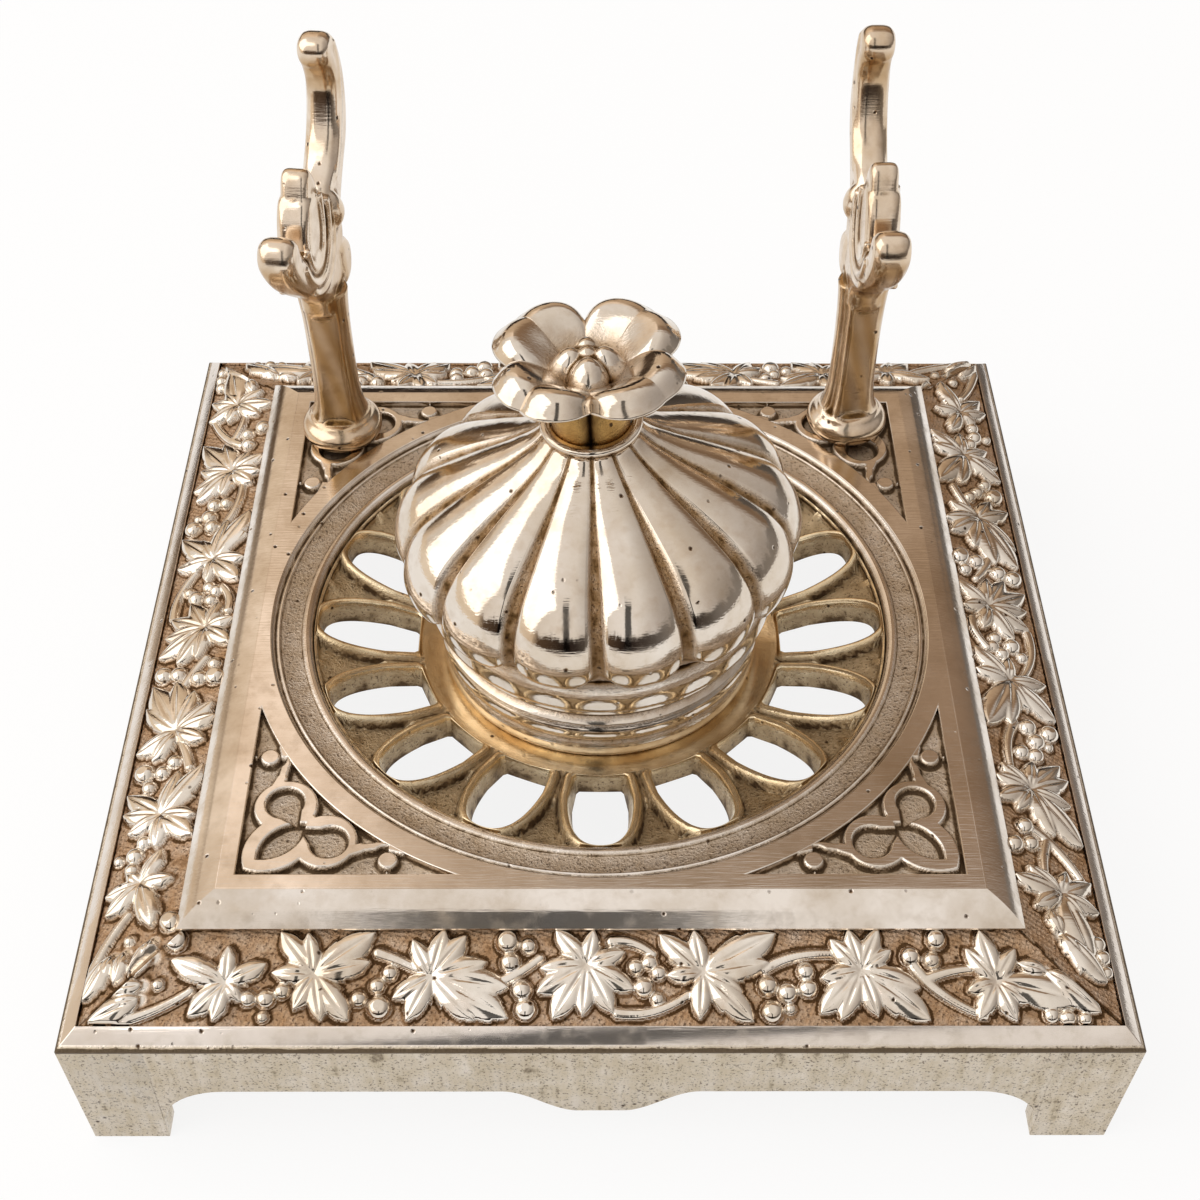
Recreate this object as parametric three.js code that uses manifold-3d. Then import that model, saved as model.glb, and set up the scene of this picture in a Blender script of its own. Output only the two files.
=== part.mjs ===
// A desk inkstand in silver-plated cast brass: a square plinth with a vine border, a raised panel with a
// pierced rosette, a hinged-lid inkwell in its middle and two pen rests at the back corners.
// Millimetres, +Z up. The origin is on the floor under the middle of the plinth, and the front looks
// along -Y.
import * as THREE from 'three';
import { mergeVertices } from 'three/addons/utils/BufferGeometryUtils.js';
import Module from 'manifold-3d';

const wasm = await Module();
wasm.setup();

// Fits: SEAT parts two pieces that rest on each other, SLIP is the play of a pin or screw in its hole,
// and OVERRUN is how far a cut runs past the faces that it opens.
const SEAT = 0.2;
const SLIP = 0.15;
const OVERRUN = 1;

// Plinth, cast hollow on four bracket feet
const BASE_SIDE = 150;
const EDGE_HEIGHT = 25;
const FOOT_TAPER = 0.8;
const RIM_WIDTH = 2.8;
const RIM_RISE = 2.2;
const APRON_WALL = 4;
const FOOT_WIDTH = 11;
const FOOT_STRAIGHT = 6.5;
const BRACKET_REACH = 21.5;
const SOFFIT_DROP = 11.4;
const CENTRE_DROP = 17.1;
const CENTRE_FLAT = 10.8;
const CENTRE_WIDTH = 23.8;
const SHELF_RISE = 0.6;
const SHELF_THICKNESS = 3;
const SHELF_WIDTH = 20;

// Vine border, four mitred strips with a sloping face
const STRIP_WIDTH = 13;
const STRIP_LOW = 1.6;
const STRIP_HIGH = 6;
const LEAF_RADIUS = 6;
const LEAF_RELIEF = 1.1;
const BERRY_RADIUS = 1.3;

// Raised panel with a moulded edge that hangs a little over the border. Margins are the flat left between
// the panel's edge, its sunk spandrels and its ring.
const PANEL_RISE = 9.5;
const BEVEL_OVERHANG = 0.6;
const BEVEL_SPREAD = 4;
const BEVEL_DROP = 2.5;
const COVE_HEIGHT = 0.5;
const PANEL_WALL = 3.2;
const PLATE_THICKNESS = 3;
const SPANDREL_MARGIN = 3.6;
const SPANDREL_DEPTH = 1.2;
const TRACERY_BAND = 1.4;
const TREFOIL_LOBE_RADIUS = 4.3;
const TREFOIL_INSET = 5.2;
const TREFOIL_SPREAD = 7.3;
const SCROLL_INSET = 2.1;
const SCROLL_REACH = 22.5;
const SCROLL_RADIUS = 1.4;
const RING_MARGIN = 3;
const RING_LEDGE = 3.4;
const GROOVE_WIDTH = 1.5;
const GROOVE_DEPTH = 0.7;
const BAND_DROP = 1.6;
const BAND_WIDTH = 3.4;
const FILLET_WIDTH = 1.5;
const FILLET_RISE = 0.5;

// Pierced rosette, a shallow dish let in under the panel
const ROSETTE_DROP = 2.2;
const DISH_DEPTH = 4.1;
const COLLAR_LEDGE = 3.4;
const ROSETTE_THICKNESS = 3.4;
const FLANGE_WIDTH = 3.3;
const FLANGE_THICKNESS = 2.2;
const HUB_SINK = 0.7;
const PETAL_COUNT = 16;
const PETAL_LIP = 1.2;
const POCKET_DEPTH = 1.2;

// Inkwell body, liner and lid
const WELL_RADIUS = 25.4;
const WELL_WALL = 3.4;
const WELL_FLOOR = 2.4;
const WELL_HEIGHT = 11.8;
const LINER_WALL = 1.8;
const LINER_RISE = 1.6;
const LINER_LIP_WIDTH = 1.5;
const BAND_OVERHANG = 2;
const BAND_HEIGHT = 6.6;
const BAND_WALL = 2.6;
const DOME_SWELL = 4;
const DOME_RISE = 26.9;
const DOME_NECK_RADIUS = 7.4;
const DOME_WALL = 2.6;
const LOBE_COUNT = 14;
const FLUTE_DEPTH = 1.3;

// Lid hinge at the back of the seam
const HINGE_STANDOFF = 2;
const KNUCKLE_RADIUS = 1.7;
const KNUCKLE_LENGTH = 4;
const LID_KNUCKLE_LENGTH = 6;
const PIN_RADIUS = 0.8;
const PIN_PLAY = 0.08;
const LEAF_THICKNESS = 1.2;
const LEAF_HEIGHT = 4.6;

// Flower finial
const STEM_COLLAR_RADIUS = 7.5;
const STEM_COLLAR_HEIGHT = 1.3;
const STEM_RADIUS = 5.5;
const STEM_HEIGHT = 6;
const STEM_GROOVE_COUNT = 4;
const STEM_GROOVE_DEPTH = 0.8;
const FLOWER_RADIUS = 14;
const FLOWER_CUP = 3.6;
const FLOWER_THICKNESS = 1.5;
const PETAL_AZIMUTHS = [42, 146, 222, 326];
const BUD_RADIUS = 4.6;
const BUD_HEIGHT = 6.4;
const FINIAL_SCREW_RADIUS = 1.5;
const FINIAL_NUT_RADIUS = 3.6;
const FINIAL_NUT_HEIGHT = 2;

// Pen rests, set in from the straight sides of the rear spandrels. Each was screwed down by hand, so the two
// stand and face a little differently.
const LEFT_REST_INSET = 6.7;
const LEFT_REST_SETBACK = 7.9;
const RIGHT_REST_INSET = 8;
const RIGHT_REST_SETBACK = 5.9;
const REST_HEIGHT = 69.2;
const REST_REACH = 19.6;
const REST_WIDTH = 7.2;
const ARM_WIDTH = 5;
const REST_FOOT_RADIUS = 6.5;
const REST_FOOT_HEIGHT = 4.4;
const REST_STEM_RADIUS = 3.6;
const REST_STUD_RADIUS = 2;
const REST_NUT_RADIUS = 4;
const REST_NUT_HEIGHT = 2.4;
const REST_WASHER_RADIUS = 4.6;
const WASHER_THICKNESS = 0.8;

// Screws that hold the panel and the well
const PANEL_SCREW_RADIUS = 1;
const PANEL_SCREW_HEAD_RADIUS = 1.9;
const PANEL_SCREW_HEAD_HEIGHT = 1.2;
const PANEL_SCREW_GRIP = 4;
const WELL_SCREW_RADIUS = 2.4;
const WELL_SCREW_HEAD_RADIUS = 5;
const WELL_SCREW_HEAD_HEIGHT = 2.4;
const WELL_WASHER_RADIUS = 6.5;
const WELL_BOSS_RADIUS = 5.5;
const WELL_BOSS_HEIGHT = 2.6;

// Sizes that several pieces share, worked out from the ones above
const baseHalf = BASE_SIDE / 2;
const footHalf = baseHalf - FOOT_TAPER;
const rimHalf = baseHalf - RIM_WIDTH;
const shelfTop = EDGE_HEIGHT + SHELF_RISE;
const shelfUnder = shelfTop - SHELF_THICKNESS;
const stripInnerHalf = rimHalf - SEAT - STRIP_WIDTH;
const panelTop = EDGE_HEIGHT + PANEL_RISE;
const bevelHalf = stripInnerHalf + BEVEL_OVERHANG;
const panelHalf = bevelHalf - BEVEL_SPREAD;
const panelWallHalf = stripInnerHalf - SEAT;
const panelCavityHalf = panelWallHalf - PANEL_WALL;
const plateUnder = panelTop - PLATE_THICKNESS;
const spandrelHalf = panelHalf - SPANDREL_MARGIN;
const ringRadius = panelHalf - RING_MARGIN;
const ringHoleRadius = ringRadius - GROOVE_WIDTH - BAND_WIDTH - FILLET_WIDTH;
const rosetteRadius = ringHoleRadius - SEAT;
const rosetteRimTop = panelTop - ROSETTE_DROP;
const collarTop = rosetteRimTop - DISH_DEPTH;
const collarRadius = WELL_RADIUS + COLLAR_LEDGE;
const hubTop = collarTop - HUB_SINK;
const hubUnder = collarTop - ROSETTE_THICKNESS;
const dishWidth = rosetteRadius - collarRadius;
const dishSlope = DISH_DEPTH / dishWidth;
const wellFoot = hubTop + SEAT;
const wellInnerRadius = WELL_RADIUS - WELL_WALL;
const wellFloorTop = wellFoot + WELL_FLOOR;
const seam = wellFoot + WELL_HEIGHT;
const lidFoot = seam + SEAT;
const bandRadius = WELL_RADIUS + BAND_OVERHANG;
const bandTop = lidFoot + BAND_HEIGHT;
const domeRadius = bandRadius + DOME_SWELL;
const domeFoot = bandTop + SEAT;
const domeTop = domeFoot + DOME_RISE;
const hingeSetback = bandRadius + HINGE_STANDOFF;
const stemFoot = domeTop + SEAT;
const flowerBase = stemFoot + STEM_HEIGHT + SEAT;

// Where the pen rests stand, and their turn about the stem and their sideways lean in degrees
const REST_SPOTS = [
  {
    side: 'left',
    x: LEFT_REST_INSET - spandrelHalf,
    y: spandrelHalf - LEFT_REST_SETBACK,
    turn: -9,
    lean: -1.5,
  },
  {
    side: 'right',
    x: spandrelHalf - RIGHT_REST_INSET,
    y: spandrelHalf - RIGHT_REST_SETBACK,
    turn: 1.5,
    lean: 0.3,
  },
];

const degrees = (angle) => THREE.MathUtils.degToRad(angle);
const point = (x, y) => new THREE.Vector2(x, y);

// Geometry that is cut, joined or handed over is a closed solid first: its seams are merged, and it is
// turned inside out where its faces look inwards.
function solidOf(geometry) {
  const bare = geometry.clone();
  bare.deleteAttribute('normal');
  bare.deleteAttribute('uv');
  const merged = mergeVertices(bare);
  const corners = merged.index.array;
  const kept = [];
  for (let i = 0; i < corners.length; i += 3) {
    const [a, b, c] = [corners[i], corners[i + 1], corners[i + 2]];
    if (a !== b && b !== c && c !== a) kept.push(a, b, c);
  }
  const spots = merged.attributes.position;
  const [p, q, r] = [new THREE.Vector3(), new THREE.Vector3(), new THREE.Vector3()];
  let volume = 0;
  for (let i = 0; i < kept.length; i += 3) {
    p.fromBufferAttribute(spots, kept[i]);
    q.fromBufferAttribute(spots, kept[i + 1]);
    r.fromBufferAttribute(spots, kept[i + 2]);
    volume += p.dot(q.cross(r));
  }
  if (volume < 0) kept.reverse();
  const vertProperties = Float32Array.from(spots.array);
  return new wasm.Manifold(new wasm.Mesh({ numProp: 3, vertProperties, triVerts: Uint32Array.from(kept) }));
}

function geometryOf(solid) {
  const { vertProperties, triVerts } = solid.getMesh();
  const geometry = new THREE.BufferGeometry();
  geometry.setAttribute('position', new THREE.BufferAttribute(vertProperties, 3));
  geometry.setIndex(new THREE.BufferAttribute(triVerts, 1));
  geometry.computeVertexNormals();
  return geometry;
}

const joined = (solids) => solids.reduce((whole, solid) => whole.add(solid));
const cut = (solid, cutters) => cutters.reduce((rest, cutter) => rest.subtract(cutter), solid);

// A profile of [radius, height] points turned about Z. The first ray looks to the front.
function lathe(profile, segments) {
  const geometry = new THREE.LatheGeometry(profile.map(([r, z]) => point(r, z)), segments);
  return geometry.rotateX(Math.PI / 2);
}

const ring = (profile, segments) => lathe([...profile, profile[0]], segments);

// A profile of [half side, height] points carried round a square, with mitred corners.
function squareRound(profile) {
  const corner = profile.map(([half, z]) => point(half * Math.SQRT2, z));
  return new THREE.LatheGeometry(corner, 4, Math.PI / 4).rotateX(Math.PI / 2);
}

function cylinder(radius, low, high, segments) {
  return lathe([[0, low], [radius, low], [radius, high], [0, high]], segments);
}

// A shape drawn in plan and raised from low to high.
function raised(shape, low, high, curveSegments = 6) {
  const depth = high - low;
  return new THREE.ExtrudeGeometry(shape, { depth, bevelEnabled: false, curveSegments }).translate(0, 0, low);
}

function finish(color, roughness) {
  return new THREE.MeshStandardMaterial({ color, roughness, metalness: 1 });
}

const silver = () => finish(0xd9cfc4, 0.18);
const apronGrey = () => finish(0xa9a396, 0.5);
const gilt = () => finish(0xa57c45, 0.32);
const brass = () => finish(0xb08d57, 0.4);
const steel = () => finish(0x8b8d8f, 0.45);
const glass = () => new THREE.MeshStandardMaterial({ color: 0xdfe6e2, roughness: 0.1, metalness: 0 });

function piece(name, solid, material) {
  const mesh = new THREE.Mesh(geometryOf(solid), material);
  mesh.name = name;
  return mesh;
}

// Corners of the square, as signs of x and y, with the words that name them.
const CORNERS = [
  ['front_left', -1, -1],
  ['front_right', 1, -1],
  ['rear_right', 1, 1],
  ['rear_left', -1, 1],
];

function panelScrewSpot([, sx, sy]) {
  const middle = panelWallHalf - PANEL_WALL / 2;
  return [sx * middle, sy * middle];
}

// The apron's lower edge: a bracket foot at each end and a dropped centre with sloping sides.
function apronArch() {
  const soffit = EDGE_HEIGHT - SOFFIT_DROP;
  const drop = EDGE_HEIGHT - CENTRE_DROP;
  const inFoot = footHalf - FOOT_WIDTH;
  const reach = baseHalf - BRACKET_REACH;
  const shape = new THREE.Shape();
  shape.moveTo(-inFoot, -OVERRUN);
  shape.lineTo(-inFoot, FOOT_STRAIGHT);
  shape.quadraticCurveTo(-inFoot, soffit, -reach, soffit);
  shape.lineTo(-CENTRE_WIDTH / 2, soffit);
  shape.lineTo(-CENTRE_FLAT / 2, drop);
  shape.lineTo(CENTRE_FLAT / 2, drop);
  shape.lineTo(CENTRE_WIDTH / 2, soffit);
  shape.lineTo(reach, soffit);
  shape.quadraticCurveTo(inFoot, soffit, inFoot, FOOT_STRAIGHT);
  shape.lineTo(inFoot, -OVERRUN);
  const run = baseHalf + OVERRUN;
  return raised(shape, -run, run, 4).rotateX(Math.PI / 2);
}

// Square casting: apron with feet, bevelled rim, and a shelf inside that carries the border and the panel.
function baseFrame() {
  const section = [
    [footHalf, 0],
    [baseHalf, EDGE_HEIGHT],
    [rimHalf, EDGE_HEIGHT + RIM_RISE],
    [rimHalf, shelfTop],
    [rimHalf - SHELF_WIDTH, shelfTop],
    [rimHalf - SHELF_WIDTH, shelfUnder],
    [footHalf - APRON_WALL, shelfUnder],
    [footHalf - APRON_WALL, 0],
  ];
  const body = solidOf(squareRound([...section, section[0]]));
  const arches = [solidOf(apronArch()), solidOf(apronArch().rotateZ(Math.PI / 2))];
  const holes = CORNERS.map((corner) => {
    const [x, y] = panelScrewSpot(corner);
    const hole = cylinder(PANEL_SCREW_RADIUS + SLIP, shelfUnder - OVERRUN, shelfTop + OVERRUN, 12);
    return solidOf(hole.translate(x, y, 0));
  });
  return piece('base_frame', cut(body, [...arches, ...holes]), apronGrey());
}

// Vine leaf in outline: five lobes on a short stalk, as shares of its radius.
const LEAF_LOBE_SHARES = [1, 0.55, 0.92, 0.5, 0.82, 0.42, 0.82, 0.5, 0.92, 0.55];

function leafShape(radius) {
  const outline = LEAF_LOBE_SHARES.map((share, i) => {
    const angle = Math.PI / 2 + (i * 2 * Math.PI) / LEAF_LOBE_SHARES.length;
    return point(radius * share * Math.cos(angle), radius * share * Math.sin(angle));
  });
  return new THREE.Shape(outline);
}

// Leaves along one strip: place along the strip and across its face, as shares of half its length and of
// half its width, and the turn of the leaf in degrees.
const LEAF_PLACE_SHARES = [-0.83, -0.6, -0.33, -0.03, 0.22, 0.55, 0.83];
const LEAF_ACROSS_SHARES = [-0.08, 0.06, -0.04, 0.05, -0.05, 0.04, -0.06];
const LEAF_TURNS = [70, -20, 200, 20, -60, 170, 80];
const BERRY_ACROSS_SHARES = [0.45, -0.45];

// One border strip, mitred at its ends: a wedge-shaped bar with leaves and berries standing on its slope.
function borderStrip(name, quarter) {
  const outerHalf = rimHalf - SEAT;
  const foot = shelfTop + SEAT;
  const low = EDGE_HEIGHT + STRIP_LOW;
  const high = EDGE_HEIGHT + STRIP_HIGH;
  const section = [
    [outerHalf, foot],
    [outerHalf, low],
    [stripInnerHalf, high],
    [stripInnerHalf, foot],
  ];
  const slope = Math.atan2(high - low, STRIP_WIDTH);
  const midHalf = (outerHalf + stripInnerHalf) / 2;
  const midHeight = (low + high) / 2;
  const faceHalf = STRIP_WIDTH / 2 / Math.cos(slope);
  const onSlope = (geometry, along, across) => {
    const placed = geometry.translate(along * midHalf, across * faceHalf, 0).rotateX(slope);
    return solidOf(placed.translate(0, -midHalf, midHeight));
  };
  const sunk = -LEAF_RELIEF / 2;
  const leaves = LEAF_PLACE_SHARES.map((along, i) => {
    const leaf = raised(leafShape(LEAF_RADIUS), sunk, LEAF_RELIEF).rotateZ(degrees(LEAF_TURNS[i]));
    return onSlope(leaf, along, LEAF_ACROSS_SHARES[i]);
  });
  const berries = LEAF_PLACE_SHARES.slice(1).flatMap((along, i) => {
    const between = (along + LEAF_PLACE_SHARES[i]) / 2;
    return BERRY_ACROSS_SHARES.map((across) => {
      return onSlope(cylinder(BERRY_RADIUS, sunk, LEAF_RELIEF, 5), between, across);
    });
  });
  const reach = baseHalf + OVERRUN;
  const wedge = new THREE.Shape([point(0, -SEAT), point(-reach, -reach - SEAT), point(reach, -reach - SEAT)]);
  const quarterSpace = solidOf(raised(wedge, 0, panelTop));
  const bar = solidOf(squareRound([...section, section[0]]));
  const whole = joined([bar.intersect(quarterSpace), ...leaves, ...berries]);
  const trimmed = whole.intersect(quarterSpace).rotate([0, 0, 90 * quarter]);
  return piece(name, trimmed, silver());
}

// Sunk triangle at a corner of the panel, with two straight sides and one that follows the ring.
function spandrelRecess() {
  const half = spandrelHalf;
  const arcRadius = ringRadius + RING_LEDGE;
  const end = Math.sqrt(arcRadius ** 2 - half ** 2);
  const startAngle = Math.atan2(half, end);
  const shape = new THREE.Shape();
  shape.moveTo(half, half);
  shape.lineTo(end, half);
  shape.absarc(0, 0, arcRadius, startAngle, Math.PI / 2 - startAngle, true);
  shape.lineTo(half, half);
  return raised(shape, panelTop - SPANDREL_DEPTH, panelTop + OVERRUN, 8);
}

// A straight bar in plan between two spots, raised from low to high.
function barBetween([x0, y0], [x1, y1], width, low, high) {
  const bar = new THREE.BoxGeometry(Math.hypot(x1 - x0, y1 - y0), width, high - low);
  bar.rotateZ(Math.atan2(y1 - y0, x1 - x0));
  return bar.translate((x0 + x1) / 2, (y0 + y1) / 2, (low + high) / 2);
}

// Tracery flush with the panel's top: three pierced lobes, and a tail with a knob along each straight side.
function spandrelTracery() {
  const half = spandrelHalf;
  const floor = panelTop - SPANDREL_DEPTH - OVERRUN / 2;
  const near = half - TREFOIL_INSET;
  const far = near - TREFOIL_SPREAD;
  const eye = TREFOIL_LOBE_RADIUS - TRACERY_BAND;
  const knob = [half - SCROLL_INSET, half - SCROLL_REACH];
  const mirrored = ([x, y]) => [[x, y], [y, x]];
  const centres = [[near, near], ...mirrored([near, far])];
  const solids = [
    ...centres.map(([x, y]) => cylinder(TREFOIL_LOBE_RADIUS, floor, panelTop, 14).translate(x, y, 0)),
    ...mirrored(knob).map(([x, y]) => cylinder(SCROLL_RADIUS, floor, panelTop, 8).translate(x, y, 0)),
    barBetween([near, far - eye], knob, TRACERY_BAND, floor, panelTop),
    barBetween([far - eye, near], [knob[1], knob[0]], TRACERY_BAND, floor, panelTop),
  ];
  const eyes = centres.map(([x, y]) => {
    const bore = cylinder(eye, panelTop - SPANDREL_DEPTH, panelTop + OVERRUN, 10);
    return solidOf(bore.translate(x, y, 0));
  });
  return cut(joined(solids.map(solidOf)), eyes);
}

// Points of the panel's rounded edge, as shares of the bevel's spread and of its drop, and the flat top of
// the fillet inside the ring, as shares of its width.
const BEVEL_SHARES = [[1, 0], [0.8, 0.45], [0.4, 0.82], [0, 1]];
const FILLET_SHARES = [0.3, 0.8];

// Raised square panel, open below: bevelled edge over a cove, four sunk spandrels, and a stepped ring of
// groove, gritted band and fillet round the hole for the rosette.
function panel() {
  const bevelFoot = panelTop - BEVEL_DROP;
  const outer = [
    [0, shelfTop + SEAT],
    [panelWallHalf, shelfTop + SEAT],
    [panelWallHalf, bevelFoot - COVE_HEIGHT],
    ...BEVEL_SHARES.map(([out, up]) => [panelHalf + BEVEL_SPREAD * out, bevelFoot + BEVEL_DROP * up]),
    [0, panelTop],
  ];
  const cavity = [
    [0, shelfTop - OVERRUN],
    [panelCavityHalf, shelfTop - OVERRUN],
    [panelCavityHalf, plateUnder],
    [0, plateUnder],
  ];
  const grooveIn = ringRadius - GROOVE_WIDTH;
  const bandIn = grooveIn - BAND_WIDTH;
  const grooveZ = panelTop - GROOVE_DEPTH;
  const bandZ = panelTop - BAND_DROP;
  const mouldings = [
    [0, panelTop + OVERRUN],
    [ringRadius, panelTop + OVERRUN],
    [ringRadius, panelTop],
    [grooveIn, grooveZ],
    [bandIn, bandZ],
    ...FILLET_SHARES.map((share) => [bandIn - FILLET_WIDTH * share, bandZ + FILLET_RISE]),
    [ringHoleRadius, bandZ],
    [ringHoleRadius, plateUnder - OVERRUN],
    [0, plateUnder - OVERRUN],
  ];
  const body = cut(solidOf(squareRound(outer)), [
    solidOf(squareRound(cavity)),
    solidOf(lathe(mouldings, 48)),
  ]);
  const recess = solidOf(spandrelRecess());
  const tracery = spandrelTracery();
  const sunk = [];
  const flush = [];
  for (let quarter = 0; quarter < CORNERS.length; quarter++) {
    sunk.push(recess.rotate([0, 0, 90 * quarter]));
    flush.push(tracery.rotate([0, 0, 90 * quarter]));
  }
  const studHoles = REST_SPOTS.map(({ x, y }) => {
    const hole = cylinder(REST_STUD_RADIUS + SLIP, plateUnder - OVERRUN, panelTop + OVERRUN, 12);
    return solidOf(hole.translate(x, y, 0));
  });
  const screwHoles = CORNERS.map((corner) => {
    const [x, y] = panelScrewSpot(corner);
    const boreTop = shelfTop + PANEL_SCREW_GRIP + OVERRUN;
    const bore = cylinder(PANEL_SCREW_RADIUS + SLIP, shelfTop - OVERRUN, boreTop, 12);
    return solidOf(bore.translate(x, y, 0));
  });
  const carved = joined([cut(body, sunk), ...flush]);
  return piece('panel', cut(carved, [...studHoles, ...screwHoles]), silver());
}

function panelScrew(corner) {
  const [x, y] = panelScrewSpot(corner);
  const underHead = shelfUnder - SEAT;
  const profile = [
    [0, underHead - PANEL_SCREW_HEAD_HEIGHT],
    [PANEL_SCREW_HEAD_RADIUS, underHead - PANEL_SCREW_HEAD_HEIGHT],
    [PANEL_SCREW_HEAD_RADIUS, underHead],
    [PANEL_SCREW_RADIUS, underHead],
    [PANEL_SCREW_RADIUS, shelfTop + PANEL_SCREW_GRIP],
    [0, shelfTop + PANEL_SCREW_GRIP],
  ];
  return piece(`panel_screw_${corner[0]}`, solidOf(lathe(profile, 12).translate(x, y, 0)), steel());
}

// Opening between two bars of the rosette: a straight inner end and a rounded outer end. Its widths are
// shares of the pitch of the openings, and its widest place is a share of the way out.
const OPENING_INNER_SHARE = 0.71;
const OPENING_WIDE_SHARE = 0.72;
const OPENING_BELLY_SHARE = 0.33;

function petalOpening() {
  const inner = collarRadius + PETAL_LIP / 2;
  const outer = rosetteRadius - PETAL_LIP / 2;
  const widest = inner + (outer - inner) * OPENING_BELLY_SHARE;
  const halfPitch = Math.PI / PETAL_COUNT;
  const innerHalf = inner * halfPitch * OPENING_INNER_SHARE;
  const wideHalf = widest * halfPitch * OPENING_WIDE_SHARE;
  const shape = new THREE.Shape();
  shape.moveTo(-innerHalf, inner);
  shape.lineTo(innerHalf, inner);
  shape.lineTo(wideHalf, widest);
  shape.absellipse(0, widest, wideHalf, outer - widest, 0, Math.PI, false);
  shape.lineTo(-innerHalf, inner);
  return raised(shape, hubUnder - OVERRUN, rosetteRimTop + OVERRUN, 5);
}

// Sunk triangle between the outer ends of two openings: how far out its points lie and half its width
// there, as shares of the dish's width and of half the pitch of the openings.
const POCKET_SHARES = [[0.44, 0], [0.65, 0.22], [0.81, 0.42], [0.914, 0.6]];

function petalPocket() {
  const halfPitch = Math.PI / PETAL_COUNT;
  const side = POCKET_SHARES.map(([out, wide]) => {
    const r = collarRadius + dishWidth * out;
    return point(r * halfPitch * wide, r);
  });
  const mirrored = side.slice(1).reverse().map(({ x, y }) => point(-x, y));
  const shape = new THREE.Shape([...side, ...mirrored]);
  const fold = collarRadius;
  const prism = raised(shape, -POCKET_DEPTH, OVERRUN).translate(0, -fold, 0);
  return prism.rotateX(Math.atan(dishSlope)).translate(0, fold, collarTop);
}

// Under the dish, the flange begins at a share of the way out.
const FLANGE_START_SHARE = 0.81;

function rosette() {
  const flangeTop = plateUnder - SEAT;
  const flangeFoot = flangeTop - FLANGE_THICKNESS;
  const profile = [
    [0, hubUnder],
    [collarRadius, hubUnder],
    [collarRadius + dishWidth * FLANGE_START_SHARE, flangeFoot],
    [rosetteRadius + FLANGE_WIDTH, flangeFoot],
    [rosetteRadius + FLANGE_WIDTH, flangeTop],
    [rosetteRadius, flangeTop],
    [rosetteRadius, rosetteRimTop],
    [collarRadius, collarTop],
    [WELL_RADIUS, hubTop],
    [0, hubTop],
  ];
  const cutters = [];
  const opening = solidOf(petalOpening());
  const pocket = solidOf(petalPocket());
  const step = 360 / PETAL_COUNT;
  for (let i = 0; i < PETAL_COUNT; i++) {
    cutters.push(opening.rotate([0, 0, i * step]));
    cutters.push(pocket.rotate([0, 0, (i + 0.5) * step]));
  }
  cutters.push(solidOf(cylinder(WELL_SCREW_RADIUS + SLIP, hubUnder - OVERRUN, hubTop + OVERRUN, 16)));
  return piece('rosette', cut(solidOf(lathe(profile, 48)), cutters), gilt());
}

// Body of the inkwell, turned: two rolls and a cove outside, a boss inside for the fixing screw. The
// points are heights as shares of the body's height and radii as shares of its widest radius.
const WELL_OUTLINE_SHARES = [
  [0.972, 0],
  [0.998, 0.1],
  [0.998, 0.24],
  [0.966, 0.31],
  [1, 0.4],
  [1, 0.54],
  [0.964, 0.62],
  [1.015, 0.73],
  [0.98, 0.81],
  [1.025, 0.96],
  [1.025, 1],
];

function wellBody() {
  const outside = WELL_OUTLINE_SHARES.map(([r, z]) => [WELL_RADIUS * r, wellFoot + WELL_HEIGHT * z]);
  const profile = [
    [0, wellFoot],
    ...outside,
    [wellInnerRadius, seam],
    [wellInnerRadius, wellFloorTop],
    [WELL_BOSS_RADIUS, wellFloorTop],
    [WELL_BOSS_RADIUS, wellFloorTop + WELL_BOSS_HEIGHT],
    [0, wellFloorTop + WELL_BOSS_HEIGHT],
  ];
  const boreTop = wellFloorTop + WELL_BOSS_HEIGHT / 2;
  const bore = cylinder(WELL_SCREW_RADIUS + SLIP, wellFoot - OVERRUN, boreTop, 16);
  return piece('well_body', cut(solidOf(lathe(profile, 40)), [solidOf(bore)]), silver());
}

function wellScrew() {
  const underHead = hubUnder - WASHER_THICKNESS - 2 * SEAT;
  const foot = underHead - WELL_SCREW_HEAD_HEIGHT;
  const head = solidOf(cylinder(WELL_SCREW_HEAD_RADIUS, foot, underHead, 6));
  const shank = solidOf(cylinder(WELL_SCREW_RADIUS, foot, wellFloorTop + WELL_BOSS_HEIGHT / 2 - SEAT, 16));
  return piece('well_screw', head.add(shank), steel());
}

function washer(name, outer, inner, top) {
  const foot = top - WASHER_THICKNESS;
  return piece(name, solidOf(ring([[inner, foot], [outer, foot], [outer, top], [inner, top]], 16)), brass());
}

// Glass pot that stands in the well, with a lip over its rim.
function inkLiner() {
  const outer = wellInnerRadius - SEAT;
  const inner = outer - LINER_WALL;
  const foot = wellFloorTop + WELL_BOSS_HEIGHT + SEAT;
  const lipFoot = seam + SEAT;
  const top = seam + LINER_RISE;
  const profile = [
    [0, foot],
    [outer, foot],
    [outer, lipFoot],
    [outer + LINER_LIP_WIDTH, lipFoot],
    [outer + LINER_LIP_WIDTH, top],
    [inner, top],
    [inner, foot + LINER_WALL],
    [0, foot + LINER_WALL],
  ];
  return piece('ink_liner', solidOf(lathe(profile, 32)), glass());
}

// Turned band under the dome, which closes on the well's rim. Its outside is given as shares of its radius
// and of its height, like those of the turned pieces below.
const BAND_SHARES = [[0.965, 0], [0.995, 0.25], [1, 0.5], [0.985, 0.8], [0.955, 1]];

function lidBand() {
  const inner = bandRadius - BAND_WALL;
  const outside = BAND_SHARES.map(([r, z]) => [bandRadius * r, lidFoot + BAND_HEIGHT * z]);
  const section = [[inner, lidFoot], ...outside, [inner, bandTop]];
  return piece('lid_band', solidOf(ring(section, 40)), silver());
}

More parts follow.
